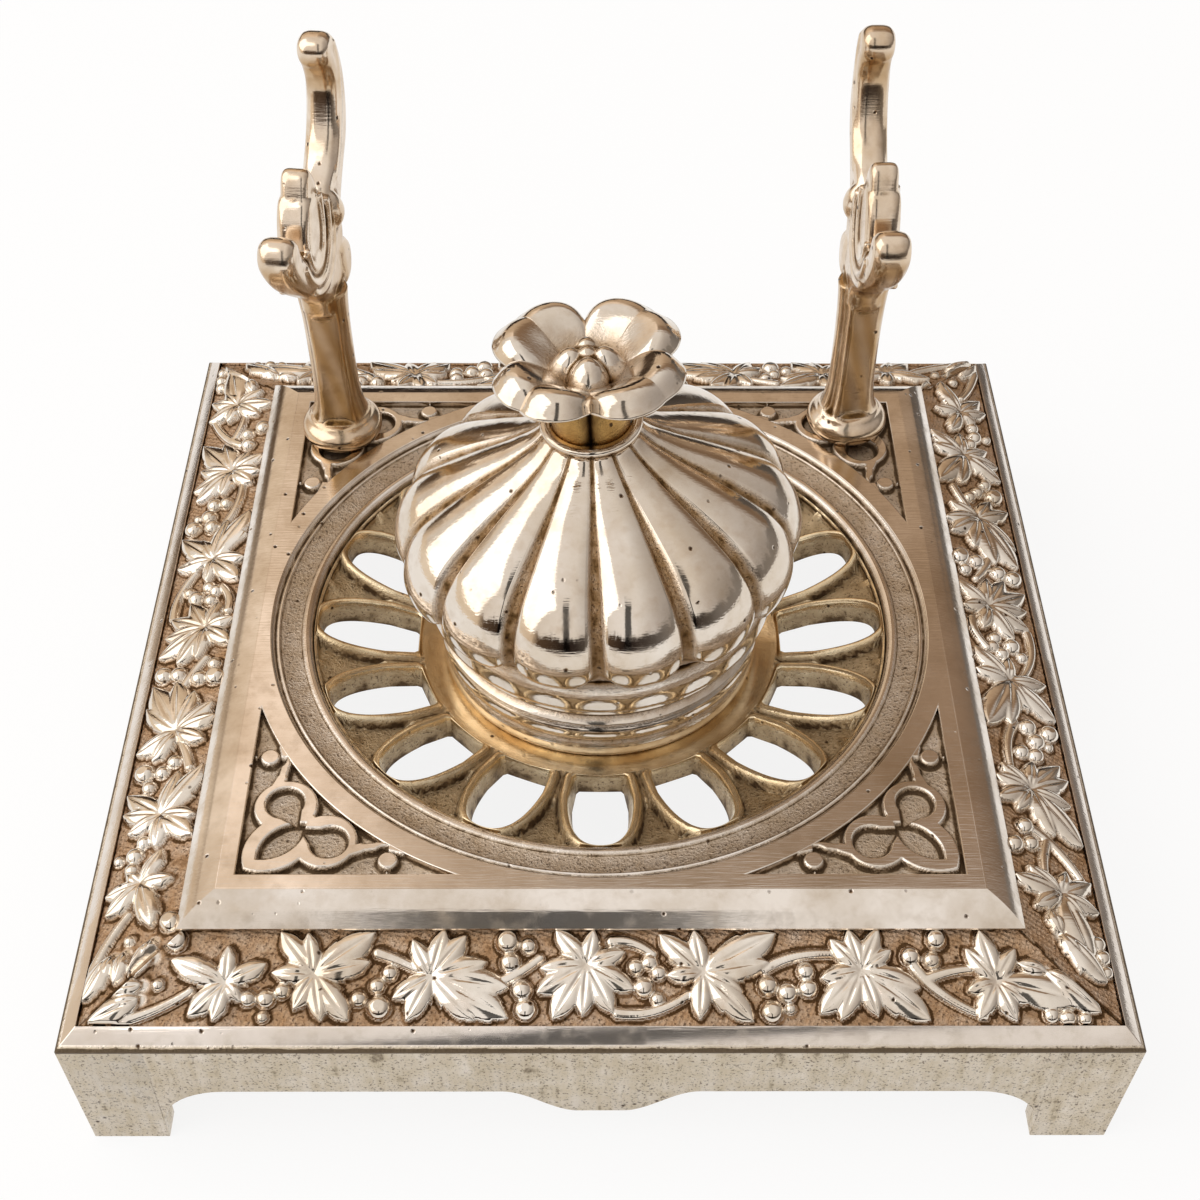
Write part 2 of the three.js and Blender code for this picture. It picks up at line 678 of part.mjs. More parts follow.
// Outside of the dome, as shares of its widest radius and of its height above the band. It flows up into
// a narrow neck.
const DOME_SHARES = [
  [0.86, 0],
  [0.94, 0.07],
  [0.985, 0.16],
  [1, 0.26],
  [0.98, 0.38],
  [0.925, 0.5],
  [0.83, 0.61],
  [0.7, 0.71],
  [0.55, 0.79],
  [0.42, 0.86],
  [0.32, 0.915],
  [0.26, 0.96],
];
const CAVITY_SHARES = [
  [0.9, 0.18],
  [0.9, 0.34],
  [0.83, 0.48],
  [0.69, 0.6],
  [0.5, 0.7],
  [0.33, 0.79],
];

// Cast dome with wide lobes between narrow flutes, hollow inside.
function lidDome() {
  const onDome = ([r, z]) => [domeRadius * r, domeFoot + DOME_RISE * z];
  const outside = [[0, domeFoot], ...DOME_SHARES.map(onDome), [DOME_NECK_RADIUS, domeTop], [0, domeTop]];
  const geometry = lathe(outside, LOBE_COUNT * 4);
  const spots = geometry.attributes.position;
  for (let i = 0; i < spots.count; i++) {
    const [x, y, z] = [spots.getX(i), spots.getY(i), spots.getZ(i)];
    const radius = Math.hypot(x, y);
    if (radius <= DOME_NECK_RADIUS) continue;
    const azimuth = Math.atan2(y, x) + Math.PI / 2;
    const nearFlute = ((1 + Math.cos(azimuth * LOBE_COUNT)) / 2) ** 2;
    const fade = Math.min(1, (radius - DOME_NECK_RADIUS) / DOME_NECK_RADIUS);
    const share = 1 - (FLUTE_DEPTH * nearFlute * fade) / radius;
    spots.setXYZ(i, x * share, y * share, z);
  }
  const cavity = [
    [0, domeFoot - OVERRUN],
    [bandRadius - BAND_WALL, domeFoot - OVERRUN],
    [bandRadius - BAND_WALL, domeFoot],
    ...CAVITY_SHARES.map(onDome),
    [FINIAL_NUT_RADIUS + SEAT, domeTop - DOME_WALL],
    [0, domeTop - DOME_WALL],
  ];
  const boreFoot = domeTop - DOME_WALL - OVERRUN;
  const bore = cylinder(FINIAL_SCREW_RADIUS + SLIP, boreFoot, domeTop + OVERRUN, 12);
  return piece('lid_dome', cut(solidOf(geometry), [solidOf(lathe(cavity, 28)), solidOf(bore)]), silver());
}

// A cylinder along X between two places, on the hinge's axis.
function onHinge(radius, from, to) {
  const geometry = cylinder(radius, from, to, 16).rotateY(Math.PI / 2);
  return geometry.translate(0, hingeSetback, seam);
}

const hingeBore = (reach) => solidOf(onHinge(PIN_RADIUS + PIN_PLAY, -reach, reach));

// Hinge leaf on the well: a plate below the seam with a knuckle at each end.
function wellHinge() {
  const inner = LID_KNUCKLE_LENGTH / 2 + SEAT;
  const reach = inner + KNUCKLE_LENGTH;
  const spans = [[-reach, -inner], [inner, reach]];
  const knuckles = spans.map(([from, to]) => solidOf(onHinge(KNUCKLE_RADIUS, from, to)));
  const front = WELL_RADIUS * WELL_OUTLINE_SHARES.at(-1)[0] + SEAT;
  const plateTop = seam - KNUCKLE_RADIUS - SEAT;
  const back = hingeSetback + KNUCKLE_RADIUS / 2;
  const plate = new THREE.BoxGeometry(2 * reach, LEAF_THICKNESS, LEAF_HEIGHT);
  plate.translate(0, front + LEAF_THICKNESS / 2, plateTop - LEAF_HEIGHT / 2);
  const webs = [-1, 1].map((side) => {
    const web = new THREE.BoxGeometry(KNUCKLE_LENGTH, back - front, KNUCKLE_RADIUS);
    return solidOf(web.translate(side * (inner + reach) / 2, (front + back) / 2, plateTop));
  });
  const body = joined([solidOf(plate), ...knuckles, ...webs]);
  return piece('well_hinge', cut(body, [hingeBore(reach + OVERRUN)]), silver());
}

// Hinge leaf on the lid: one knuckle in the middle and a tongue that is soldered to the band.
function lidHinge() {
  const half = LID_KNUCKLE_LENGTH / 2;
  const front = bandRadius + SEAT;
  const tongue = new THREE.BoxGeometry(2 * half, LEAF_THICKNESS, LEAF_HEIGHT);
  tongue.translate(0, front + LEAF_THICKNESS / 2, seam + LEAF_HEIGHT / 2 + SEAT);
  const body = solidOf(onHinge(KNUCKLE_RADIUS, -half, half)).add(solidOf(tongue));
  return piece('lid_hinge', cut(body, [hingeBore(half + OVERRUN)]), silver());
}

function hingePin() {
  const reach = LID_KNUCKLE_LENGTH / 2 + SEAT + KNUCKLE_LENGTH;
  return piece('hinge_pin', solidOf(onHinge(PIN_RADIUS, -reach, reach)), steel());
}

// Polished ring that the finial's stem stands in.
const STEM_COLLAR_SHARES = [[0.96, 0], [1, 0.5], [0.96, 1]];

function stemCollar() {
  const inner = STEM_RADIUS + SEAT;
  const height = STEM_COLLAR_HEIGHT;
  const outside = STEM_COLLAR_SHARES.map(([r, z]) => [STEM_COLLAR_RADIUS * r, stemFoot + height * z]);
  const section = [[inner, stemFoot], ...outside, [inner, stemFoot + height]];
  return piece('stem_collar', solidOf(ring(section, 24)), silver());
}

// Stem of the finial: four rounded quarters with a groove between them, bored for the long screw.
const STEM_SHARES = [[0.96, 0], [1, 0.25], [0.98, 0.7], [0.82, 1]];

function finialStem() {
  const bore = FINIAL_SCREW_RADIUS + SLIP;
  const outside = STEM_SHARES.map(([r, z]) => [STEM_RADIUS * r, stemFoot + STEM_HEIGHT * z]);
  const body = solidOf(ring([[bore, stemFoot], ...outside, [bore, stemFoot + STEM_HEIGHT]], 24));
  const grooves = [];
  for (let i = 0; i < STEM_GROOVE_COUNT; i++) {
    const bar = new THREE.BoxGeometry(STEM_GROOVE_DEPTH, STEM_GROOVE_DEPTH * 2, STEM_HEIGHT + 2 * OVERRUN);
    bar.translate(0, -STEM_RADIUS, stemFoot + STEM_HEIGHT / 2);
    grooves.push(solidOf(bar.rotateZ((i * 2 * Math.PI) / STEM_GROOVE_COUNT)));
  }
  return piece('finial_stem', cut(body, grooves), gilt());
}

// Distance from the flower's middle to its edge, as a share of its radius: four broad petals that spread
// to each side of their azimuth, each with a notch in its tip. Angles are in degrees.
const FLOWER_EYE_SHARE = 0.3;
const PETAL_SPREAD = 46;
const NOTCH_SPREAD = 13;
const NOTCH_SHARE = 0.13;

function flowerEdgeShare(azimuth) {
  let share = FLOWER_EYE_SHARE;
  for (const petal of PETAL_AZIMUTHS) {
    const away = Math.abs(((azimuth - petal + 540) % 360) - 180);
    if (away > PETAL_SPREAD) continue;
    const lobe = Math.sqrt(1 - (away / PETAL_SPREAD) ** 2.6);
    const notch = NOTCH_SHARE * Math.max(0, 1 - away / NOTCH_SPREAD);
    share = Math.max(share, FLOWER_EYE_SHARE + (1 - FLOWER_EYE_SHARE) * lobe - notch);
  }
  return share;
}

// Cupped petals cast as one plate. Rings of the plate lie at shares of the way out to the edge, and the
// cup rises, then rolls over, by shares of its height.
const PETAL_RING_SHARES = [FLOWER_EYE_SHARE, 0.55, 0.8, 1];
const PETAL_LIFT_SHARES = [0, 0.6, 1, 0.78];

function finialPetals() {
  const hole = (FINIAL_SCREW_RADIUS + SLIP) / FLOWER_RADIUS;
  const lower = PETAL_RING_SHARES.map((share, i) => [share, FLOWER_CUP * PETAL_LIFT_SHARES[i]]);
  const upper = lower.map(([share, z]) => [share, z + FLOWER_THICKNESS]);
  const section = [[hole, 0], [hole, FLOWER_THICKNESS], ...upper, ...lower.reverse()];
  const geometry = ring(section.map(([share, z]) => [share * FLOWER_RADIUS, z]), 48);
  const spots = geometry.attributes.position;
  for (let i = 0; i < spots.count; i++) {
    const [x, y, z] = [spots.getX(i), spots.getY(i), spots.getZ(i)];
    const share = Math.hypot(x, y) / FLOWER_RADIUS;
    if (share <= FLOWER_EYE_SHARE) continue;
    const stretch = flowerEdgeShare(THREE.MathUtils.radToDeg(Math.atan2(y, x)));
    const grown = FLOWER_EYE_SHARE + (share - FLOWER_EYE_SHARE) * stretch;
    spots.setXYZ(i, (x / share) * grown, (y / share) * grown, z);
  }
  return piece('finial_petals', solidOf(geometry.translate(0, 0, flowerBase)), silver());
}

// Bud in the middle of the flower, on the long screw that draws the finial down on the dome.
const BUD_SHARES = [[0.75, 0], [0.9, 0.25], [0.8, 0.6], [0.45, 0.88], [0, 1]];

function finialBud() {
  const foot = flowerBase + FLOWER_THICKNESS + SEAT;
  const screwFoot = domeTop - DOME_WALL - FINIAL_NUT_HEIGHT - 3 * SEAT;
  const profile = [
    [0, screwFoot],
    [FINIAL_SCREW_RADIUS, screwFoot],
    [FINIAL_SCREW_RADIUS, foot],
    ...BUD_SHARES.map(([r, z]) => [BUD_RADIUS * r, foot + BUD_HEIGHT * z]),
  ];
  return piece('finial_bud', solidOf(lathe(profile, 15)), silver());
}

function nut(name, radius, bore, low, height) {
  const body = solidOf(cylinder(radius, low, low + height, 6));
  const hole = solidOf(cylinder(bore, low - OVERRUN, low + height + OVERRUN, 12));
  return piece(name, body.subtract(hole), brass());
}

function finialNut() {
  const top = domeTop - DOME_WALL - SEAT;
  const bore = FINIAL_SCREW_RADIUS + SLIP;
  return nut('finial_nut', FINIAL_NUT_RADIUS, bore, top - FINIAL_NUT_HEIGHT, FINIAL_NUT_HEIGHT);
}

// Side view of a pen rest, as [forward, up] shares of its reach and of its height: the hook in front with
// its rounded end, the leaf that stands in it, the upper arm, and the scroll behind the stem.
const HOOK_SHARES = [
  [0.17, 0.43],
  [0.45, 0.455],
  [0.74, 0.5],
  [0.97, 0.6],
  [1, 0.68],
  [0.93, 0.73],
  [0.78, 0.72],
  [0.66, 0.64],
  [0.55, 0.62],
  [0.42, 0.66],
  [0.33, 0.74],
  [0.24, 0.79],
  [0.1, 0.79],
  [-0.05, 0.71],
  [-0.36, 0.71],
  [-0.62, 0.62],
  [-0.4, 0.54],
  [-0.35, 0.48],
  [-0.48, 0.45],
  [-0.48, 0.4],
  [-0.3, 0.38],
  [-0.17, 0.4],
];
const ARM_SHARES = [
  [-0.12, 0.69],
  [-0.36, 0.71],
  [-0.6, 0.79],
  [-0.74, 0.9],
  [-0.66, 0.97],
  [-0.72, 1],
  [-0.86, 0.99],
  [-0.97, 0.9],
  [-0.92, 0.76],
  [-0.72, 0.62],
  [-0.5, 0.55],
  [-0.2, 0.6],
];

function sideSlab(shares, width) {
  const outline = shares.map(([forward, up]) => point(forward * REST_REACH, up * REST_HEIGHT));
  const geometry = raised(new THREE.Shape(outline), -width / 2, width / 2);
  // The outline's forward axis goes to -Y and its up axis to +Z.
  return geometry.rotateX(Math.PI / 2).rotateZ(-Math.PI / 2);
}

// The bun foot's outside, as shares of its radius and of its height, and the top of the stem as a share of
// the pen rest's height.
const REST_FOOT_SHARES = [[0, 0], [0.86, 0], [1, 0.35], [0.92, 0.7], [0.67, 1], [0, 1]];
const REST_STEM_SHARE = 0.44;

// Cast pen rest: bun foot, slender stem, front hook and curved upper arm, with a threaded stud below. The
// part above the foot leans a little to one side.
function penRest({ side, x, y, turn, lean }) {
  const studFoot = plateUnder - WASHER_THICKNESS - REST_NUT_HEIGHT - 3 * SEAT;
  const seat = panelTop + SEAT;
  const footProfile = REST_FOOT_SHARES.map(([r, z]) => [REST_FOOT_RADIUS * r, REST_FOOT_HEIGHT * z]);
  const foot = solidOf(lathe(footProfile, 16));
  const stem = cylinder(REST_STEM_RADIUS, REST_FOOT_HEIGHT / 2, REST_HEIGHT * REST_STEM_SHARE, 8);
  const post = solidOf(stem.rotateZ(Math.PI / 8));
  const hook = solidOf(sideSlab(HOOK_SHARES, REST_WIDTH));
  const arm = solidOf(sideSlab(ARM_SHARES, ARM_WIDTH));
  const stud = solidOf(cylinder(REST_STUD_RADIUS, studFoot - seat, REST_FOOT_HEIGHT / 2, 12));
  const upright = joined([post, hook, arm]).rotate([0, 0, turn]).rotate([0, lean, 0]);
  return piece(`pen_rest_${side}`, joined([foot, stud, upright]).translate([x, y, seat]), silver());
}

// Washer and nut on the stud, below the panel.
function restFixings({ side, x, y }) {
  const washerTop = plateUnder - SEAT;
  const nutTop = washerTop - WASHER_THICKNESS - SEAT;
  const bore = REST_STUD_RADIUS + SLIP;
  const fixings = new THREE.Group();
  fixings.add(washer(`pen_rest_washer_${side}`, REST_WASHER_RADIUS, bore, washerTop));
  fixings.add(nut(`pen_rest_nut_${side}`, REST_NUT_RADIUS, bore, nutTop - REST_NUT_HEIGHT, REST_NUT_HEIGHT));
  fixings.position.set(x, y, 0);
  return fixings;
}

const inkstand = new THREE.Group();
inkstand.add(baseFrame());
['front', 'right', 'rear', 'left'].forEach((side, quarter) => {
  inkstand.add(borderStrip(`vine_border_${side}`, quarter));
});
inkstand.add(panel(), rosette());
CORNERS.forEach((corner) => inkstand.add(panelScrew(corner)));
inkstand.add(wellBody(), wellScrew(), inkLiner());
inkstand.add(washer('well_washer', WELL_WASHER_RADIUS, WELL_SCREW_RADIUS + SLIP, hubUnder - SEAT));
inkstand.add(wellHinge(), lidHinge(), hingePin());
inkstand.add(lidBand(), lidDome(), stemCollar());
inkstand.add(finialStem(), finialPetals(), finialBud(), finialNut());
REST_SPOTS.forEach((spot) => inkstand.add(penRest(spot), restFixings(spot)));

export default inkstand;
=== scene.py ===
from functools import partial
from math import atan2, cos, hypot, pi, radians, sin, sqrt

import bmesh
import bpy
import numpy as np
from mathutils import Matrix, Vector


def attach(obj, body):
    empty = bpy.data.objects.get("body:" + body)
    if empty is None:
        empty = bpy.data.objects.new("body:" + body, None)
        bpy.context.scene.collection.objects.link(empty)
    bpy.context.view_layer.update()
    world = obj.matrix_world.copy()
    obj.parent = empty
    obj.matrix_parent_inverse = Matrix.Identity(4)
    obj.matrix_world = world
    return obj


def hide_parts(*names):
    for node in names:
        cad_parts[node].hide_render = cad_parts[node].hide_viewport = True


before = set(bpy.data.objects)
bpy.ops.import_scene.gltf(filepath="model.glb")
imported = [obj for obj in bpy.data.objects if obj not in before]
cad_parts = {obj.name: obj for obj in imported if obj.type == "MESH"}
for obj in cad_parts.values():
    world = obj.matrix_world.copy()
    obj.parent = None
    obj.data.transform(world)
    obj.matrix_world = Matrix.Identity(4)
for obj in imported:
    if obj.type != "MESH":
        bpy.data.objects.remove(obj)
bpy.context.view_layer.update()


# Camera, at the photo's viewing angle: above the front edge, looking down on the stand.
def new_object(name, data):
    """A new object in the scene, from a camera, a lamp, a mesh or a curve."""
    made = bpy.data.objects.new(name, data)
    bpy.context.scene.collection.objects.link(made)
    return made


camera_data = bpy.data.cameras.new("camera")
camera_data.lens = 56.08
camera_data.sensor_width = 36
camera_data.clip_start = 0.01
camera_place = (-0.00164, -0.20883, 0.25246)
camera_pitch, camera_yaw, camera_roll = 0.80168, -0.00806, 0.00624
level_right = Vector((cos(camera_yaw), sin(camera_yaw), 0))
level_front = Vector((-sin(camera_yaw), cos(camera_yaw), 0))
look = level_front * cos(camera_pitch) - Vector((0, 0, sin(camera_pitch)))
look_up = level_front * sin(camera_pitch) + Vector((0, 0, cos(camera_pitch)))
frame_right = level_right * cos(camera_roll) + look_up * sin(camera_roll)
frame_up = look_up * cos(camera_roll) - level_right * sin(camera_roll)
camera = new_object("camera", camera_data)
camera.matrix_world = Matrix.Translation(camera_place) @ Matrix((frame_right, frame_up, -look)).transposed().to_4x4()
bpy.context.scene.camera = camera
bpy.context.scene.view_settings.view_transform = "Standard"


# Plinth: a square frame cast in brass and silver-plated, with a scalloped apron on four bracket feet. The
# rim is polished bright, and the apron keeps the dull, pitted skin of the casting.
# In mm: half widths of the dropped centre at its flat and at its top, and the heights of both
drop_flat, drop_wide, drop_low, drop_high = 5.4, 11.9, 7.9, 13.6
# The inner side of a foot, the run of its bracket, and where the bracket starts to curve, here and in the solid
foot_side, bracket_run, foot_straight, solid_foot_straight = 63.2, 9.7, 4.1, 6.5


def linear(hex_colour):
    parts = [int(hex_colour[i:i + 2], 16) / 255 for i in (1, 3, 5)]
    return tuple(p / 12.92 if p <= 0.04045 else ((p + 0.055) / 1.055) ** 2.4 for p in parts) + (1,)


def add_node(tree, kind, links=(), output=0, stops=(), **settings):
    """Adds a node and gives one of its outputs. links holds a socket or value for each input, in order or by
    name; stops are a ramp's (place, hex colour) points; settings are the node's own properties."""
    node = tree.nodes.new(kind if "Node" in kind else "ShaderNode" + kind)
    for name, value in settings.items():
        setattr(node, name, value)
    for key, value in links.items() if isinstance(links, dict) else enumerate(links):
        if isinstance(value, bpy.types.NodeSocket):
            tree.links.new(value, node.inputs[key])
        else:
            node.inputs[key].default_value = value
    while stops and len(node.color_ramp.elements) < len(stops):
        node.color_ramp.elements.new(0.5)
    for number, (place, colour) in enumerate(stops):
        point = node.color_ramp.elements[number]
        point.position, point.color = place, linear(colour)
    return node.outputs[output] if node.outputs else None


def adder_for(owner):
    """Clears the nodes of a new material or world, and gives the function that adds its own."""
    owner.use_nodes = True
    owner.node_tree.nodes.clear()
    return partial(add_node, owner.node_tree)


def plated_silver(name, bright, worn, hollow, polish, pits, sunk_and_shade_from=None):
    """Worn silver plate over cast brass. Handled faces are polished bright, with hairline scratches and pinholes
    of the casting; the sunk ground has lost its plate and shows dull brass. bright, worn and hollow are its three
    colours, polish its roughness and pits the depth of its pinholes in mm. The share of sunk ground is the
    attribute "hollow", or what sunk_and_shade_from gives; some pieces raise that share as painted shade, and
    where it runs highest the colour goes near black."""
    material = bpy.data.materials.new(name)
    add = adder_for(material)
    place = add("TexCoord", output="Object")

    # Clouded tarnish, in patches of about 12 mm
    cloud = add("TexNoise", {"Vector": place, "Scale": 80, "Detail": 5, "Roughness": 0.6})
    patches = add("ValToRGB", (cloud,), stops=[(0.35, bright), (0.75, worn)])
    # Hairline scratches of polishing, about 0.3 mm apart and a few mm long, in two directions
    scratched = {}
    for turn in (0.5, 2.1):
        along = add("Mapping", {"Vector": place, "Rotation": (0.4, 0.2, turn), "Scale": (220, 3200, 3200)})
        lines = add("TexNoise", {"Vector": along, "Scale": 1, "Detail": 2})
        scratched = {"Normal": add("Bump", {"Height": lines, "Strength": 0.035, "Distance": 0.0004, **scratched})}
    # Pinholes, about 0.35 mm across and 2.5 mm apart where they show
    cells = add("TexVoronoi", {"Vector": place, "Scale": 620}).node.outputs
    holes = add("MapRange", (cells["Distance"], 0.1, 0.24, 1, 0))
    few = add("MapRange", (cells["Color"], 0.8, 0.83))
    pinholes = add("Math", (holes, few), operation="MULTIPLY")
    pitted = add("Bump", {"Height": pinholes, "Distance": pits / 1000, "Strength": 0.9, **scratched}, invert=True)
    # Grit of the sunk ground, grains of about 0.4 mm
    grit = add("TexNoise", {"Vector": place, "Scale": 2300, "Detail": 3, "Roughness": 0.7})
    smudge = add("TexNoise", {"Vector": place, "Scale": 420, "Detail": 3})
    depth = sunk_and_shade_from(add, place) if sunk_and_shade_from else add("Attribute", output="Fac", attribute_name="hollow")
    broken = add("MapRange", (smudge, 0.3, 0.7, -0.18, 0.18))
    sunk_and_shade_share = add("Math", (depth, broken), operation="ADD", use_clamp=True)
    ground = add("Math", (grit, depth), operation="MULTIPLY")
    bump = add("Bump", {"Height": ground, "Distance": 0.0004, "Strength": 1, "Normal": pitted})
    # Where the plate has gone, the brass shows golden but still polished
    bare = add("Attribute", output="Fac", attribute_name="brassy")
    skin = add("Mix", {0: bare, 6: patches, 7: linear("#AD8750")}, 2, data_type="RGBA")
    colour = add("Mix", {0: sunk_and_shade_share, 6: skin, 7: linear(hollow)}, 2, data_type="RGBA")
    # Dark grains of the ground, and near black where the sunk share runs highest: tarnish in the deepest hollows,
    # and painted shade where pieces mark it at the foot of leaves and walls, under the rim and lobes, and in openings
    grains = add("MapRange", (grit, 0.56, 0.63))
    on_ground = add("MapRange", (depth, 0.25, 0.6, 0, 0.75))
    specks = add("Math", (grains, on_ground), operation="MULTIPLY")
    marks = add("Math", (specks, pinholes), operation="MAXIMUM")
    foot = add("MapRange", (sunk_and_shade_share, 0.84, 1.04))
    blackened = add("Math", (foot, marks), operation="MAXIMUM")
    darkened = add("Mix", {0: blackened, 6: colour, 7: linear("#4A3624")}, 2, data_type="RGBA")
    dulled = add("MapRange", (cloud, 0.3, 0.8, polish, polish * 1.7))
    rough = add("MapRange", (sunk_and_shade_share, 0, 1, dulled, 0.55))
    metal = add("BsdfPrincipled", {"Base Color": darkened, "Metallic": 1, "Roughness": rough, "Normal": bump})
    add("OutputMaterial", {"Surface": metal})
    return material


def apron_skin_and_rim_shade(add, place):
    """The apron's dull skin with its upright file strokes, and a dark line of painted shadow under the
    polished rim, which is 0.
    """
    height = add("SeparateXYZ", (place,), "Z")
    strokes = add("Mapping", {"Vector": place, "Scale": (900, 900, 70)})
    filed = add("TexNoise", {"Vector": strokes, "Scale": 1, "Detail": 3})
    dullness = add("MapRange", (filed, 0.3, 0.7, 0.5, 0.8))
    skin = add("MapRange", (height, 0.0254, 0.0250, 0, dullness))
    # A dark band just under the rim: painted shadow of the rim's edge
    over = add("MapRange", (height, 0.0244, 0.0247, 0, 1.2))
    under = add("MapRange", (height, 0.0256, 0.0252))
    line = add("Math", (over, under), operation="MULTIPLY")
    return add("Math", (skin, line), operation="MAXIMUM")


def finished(name, mesh, material, body, slot, *replaced):
    """Links the mesh as a piece of the stand or lid, on its body, in place of its CAD nodes."""
    piece = new_object(name, mesh)
    mesh.materials.clear()
    mesh.materials.append(material)
    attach(piece, body)
    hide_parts(*replaced)


def coat(material, *node_names):
    """Gives CAD nodes whose shape is right a material, in their objects' own slots."""
    for node_name in node_names:
        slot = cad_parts[node_name].material_slots[0]
        slot.link = "OBJECT"
        slot.material = material


def made_plain(holder):
    """The plain mesh of an object with its modifiers, which takes the object's place."""
    mesh = bpy.data.meshes.new_from_object(holder.evaluated_get(bpy.context.evaluated_depsgraph_get()))
    bpy.data.objects.remove(holder)
    return mesh


def smoothed(mesh):
    mesh.polygons.foreach_set("use_smooth", [True] * len(mesh.polygons))
    return mesh


def softened(node_name, width, shaped=None):
    """A copy of a CAD node with merged faces and edges eased by casting and polishing, width in mm."""
    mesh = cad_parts[node_name].data.copy()
    work = bmesh.new()
    work.from_mesh(mesh)
    bmesh.ops.remove_doubles(work, verts=work.verts, dist=1e-6)
    bmesh.ops.dissolve_limit(work, angle_limit=radians(1), verts=work.verts, edges=work.edges)
    if shaped:
        shaped(work)
    work.to_mesh(mesh)
    work.free()
    holder = new_object("holder", smoothed(mesh))
    easing = holder.modifiers.new("easing", "BEVEL")
    easing.width = width / 1000
    easing.segments = 3
    easing.limit_method = "ANGLE"
    easing.angle_limit = radians(30)
    easing.harden_normals = True
    return made_plain(holder)


def swept_apron(work):
    """Gives the apron's lower edge the sweep of the casting: an S beside the drop, a round bracket in each foot."""
    curve_start, curve_end = drop_flat - 2, drop_wide + 2
    bracket_cuts = foot_side - bracket_run * np.linspace(0, 1, 13) ** 2
    in_solid = np.linspace(0, 1, 5)
    solid_rise = solid_foot_straight + (drop_high - solid_foot_straight) * (2 * in_solid - in_solid ** 2)
    for axis in (0, 1):
        normal = Vector((1 - axis, axis, 0))
        for place in (*np.linspace(curve_start, curve_end, 15), *bracket_cuts):
            for way in (-1, 1):
                bmesh.ops.bisect_plane(work, geom=work.verts[:] + work.edges[:] + work.faces[:], dist=1e-6,
                                       plane_co=normal * way * place / 1000, plane_no=normal)
        for vert in work.verts:
            place = abs(vert.co[axis]) * 1000
            if curve_start <= place <= curve_end:
                up = (place - curve_start) / (curve_end - curve_start)
                line = np.interp(place, [drop_flat, drop_wide], [drop_low, drop_high])
                curve = drop_low + (drop_high - drop_low) * up * up * (3 - 2 * up)
            elif foot_side - bracket_run <= place <= foot_side + 0.01:
                out = max(0, foot_side - place) / bracket_run
                line = np.interp(out, in_solid ** 2, solid_rise)
                curve = foot_straight + (drop_high - foot_straight) * max(0, 1 - (1 - out) ** 2) ** 0.5
            else:
                continue
            in_this_wall, on_edge = abs(vert.co[1 - axis]) > 0.06, abs(vert.co.z * 1000 - line) < 0.2
            if in_this_wall and on_edge:
                vert.co.z += (curve - line) / 1000


apron_plate = plated_silver("plated_brass_apron", "#EDE4DB", "#D6CABD", "#CDBEA3", 0.1, 0.16, apron_skin_and_rim_shade)
finished("plinth", softened("base_frame", 0.35, swept_apron), apron_plate, "stand", "apron", "base_frame")


# Vine border: four cast strips, mitred and soldered in a sloping channel round the panel. Leaves, grapes
# and tendrils stand bright over a sunk, hatched ground that keeps its brassy tarnish.
# In mm: half widths over the strips' outer and inner edges, the heights of both edges and of the underside, the
# gap at a mitre, and how far a leaf stands proud
strip_outer, strip_inner = 72.0, 59.0
strip_low, strip_high, strip_foot = 26.6, 31.0, 25.8
strip_mitre = 0.2
relief = 1.7
# Leaves of the front strip: the middle, and the tips of the lobes, in mm along the strip from its middle
# and up its slope from its centre line
vine_leaves = [
    ((-52.0, -0.8), [(-60.0, 2.3), (-52.0, 4.4), (-46.4, 1.8), (-57.0, -5.6), (-53.5, -6.3), (-49.8, -3.6)]),
    ((-39.9, 0.3), [(-44.9, 6.3), (-41.0, 6.2), (-31.6, 6.2), (-32.0, 2.0), (-45.9, 0.4), (-42.5, -4.8),
                    (-34.8, -6.3), (-38.6, -6.3)]),
    ((-23.6, 0.0), [(-26.4, 5.2), (-21.9, 6.7), (-18.8, 5.8), (-15.8, 2.0), (-12.8, -1.6), (-12.9, -5.8),
                    (-17.5, -6.2), (-26.9, -6.3), (-28.9, -3.2)]),
    ((-2.0, 1.6), [(-6.4, 6.5), (-1.0, 6.6), (-8.6, 1.0), (-9.0, -2.4), (-6.8, -6.0), (-2.6, -5.6), (1.6, -5.2),
                   (4.6, -2.0), (3.4, 3.4)]),
    ((14.1, 0.5), [(8.1, 5.9), (13.0, 6.5), (24.5, 6.0), (23.4, 1.9), (9.0, 0.0), (13.6, -6.1), (21.0, -6.4),
                   (19.6, -2.2)]),
    ((36.2, 0.8), [(34.6, 6.6), (38.9, 6.7), (40.6, 3.7), (32.0, 5.2), (30.4, -0.4), (30.2, -5.3), (33.0, -6.2),
                   (38.2, -5.7), (44.4, -1.8), (45.4, -6.2)]),
    ((54.9, -0.8), [(50.8, 3.9), (53.0, 6.5), (57.9, 3.9), (50.6, -2.2), (52.0, -6.2), (57.3, -6.4),
                    (59.4, -3.9), (66.5, -3.6)]),
    ((-62.4, 2.8), [(-68.6, 0.4), (-66.0, 2.4)]),
    ((-63.6, -1.2), [(-68.6, -2.0)]),
    ((-63.8, -3.2), [(-70.6, -6.5), (-68.0, -4.0)]),
    ((62.0, 0.6), [(58.0, 1.8), (69.0, -5.2), (66.0, -2.0)]),
]
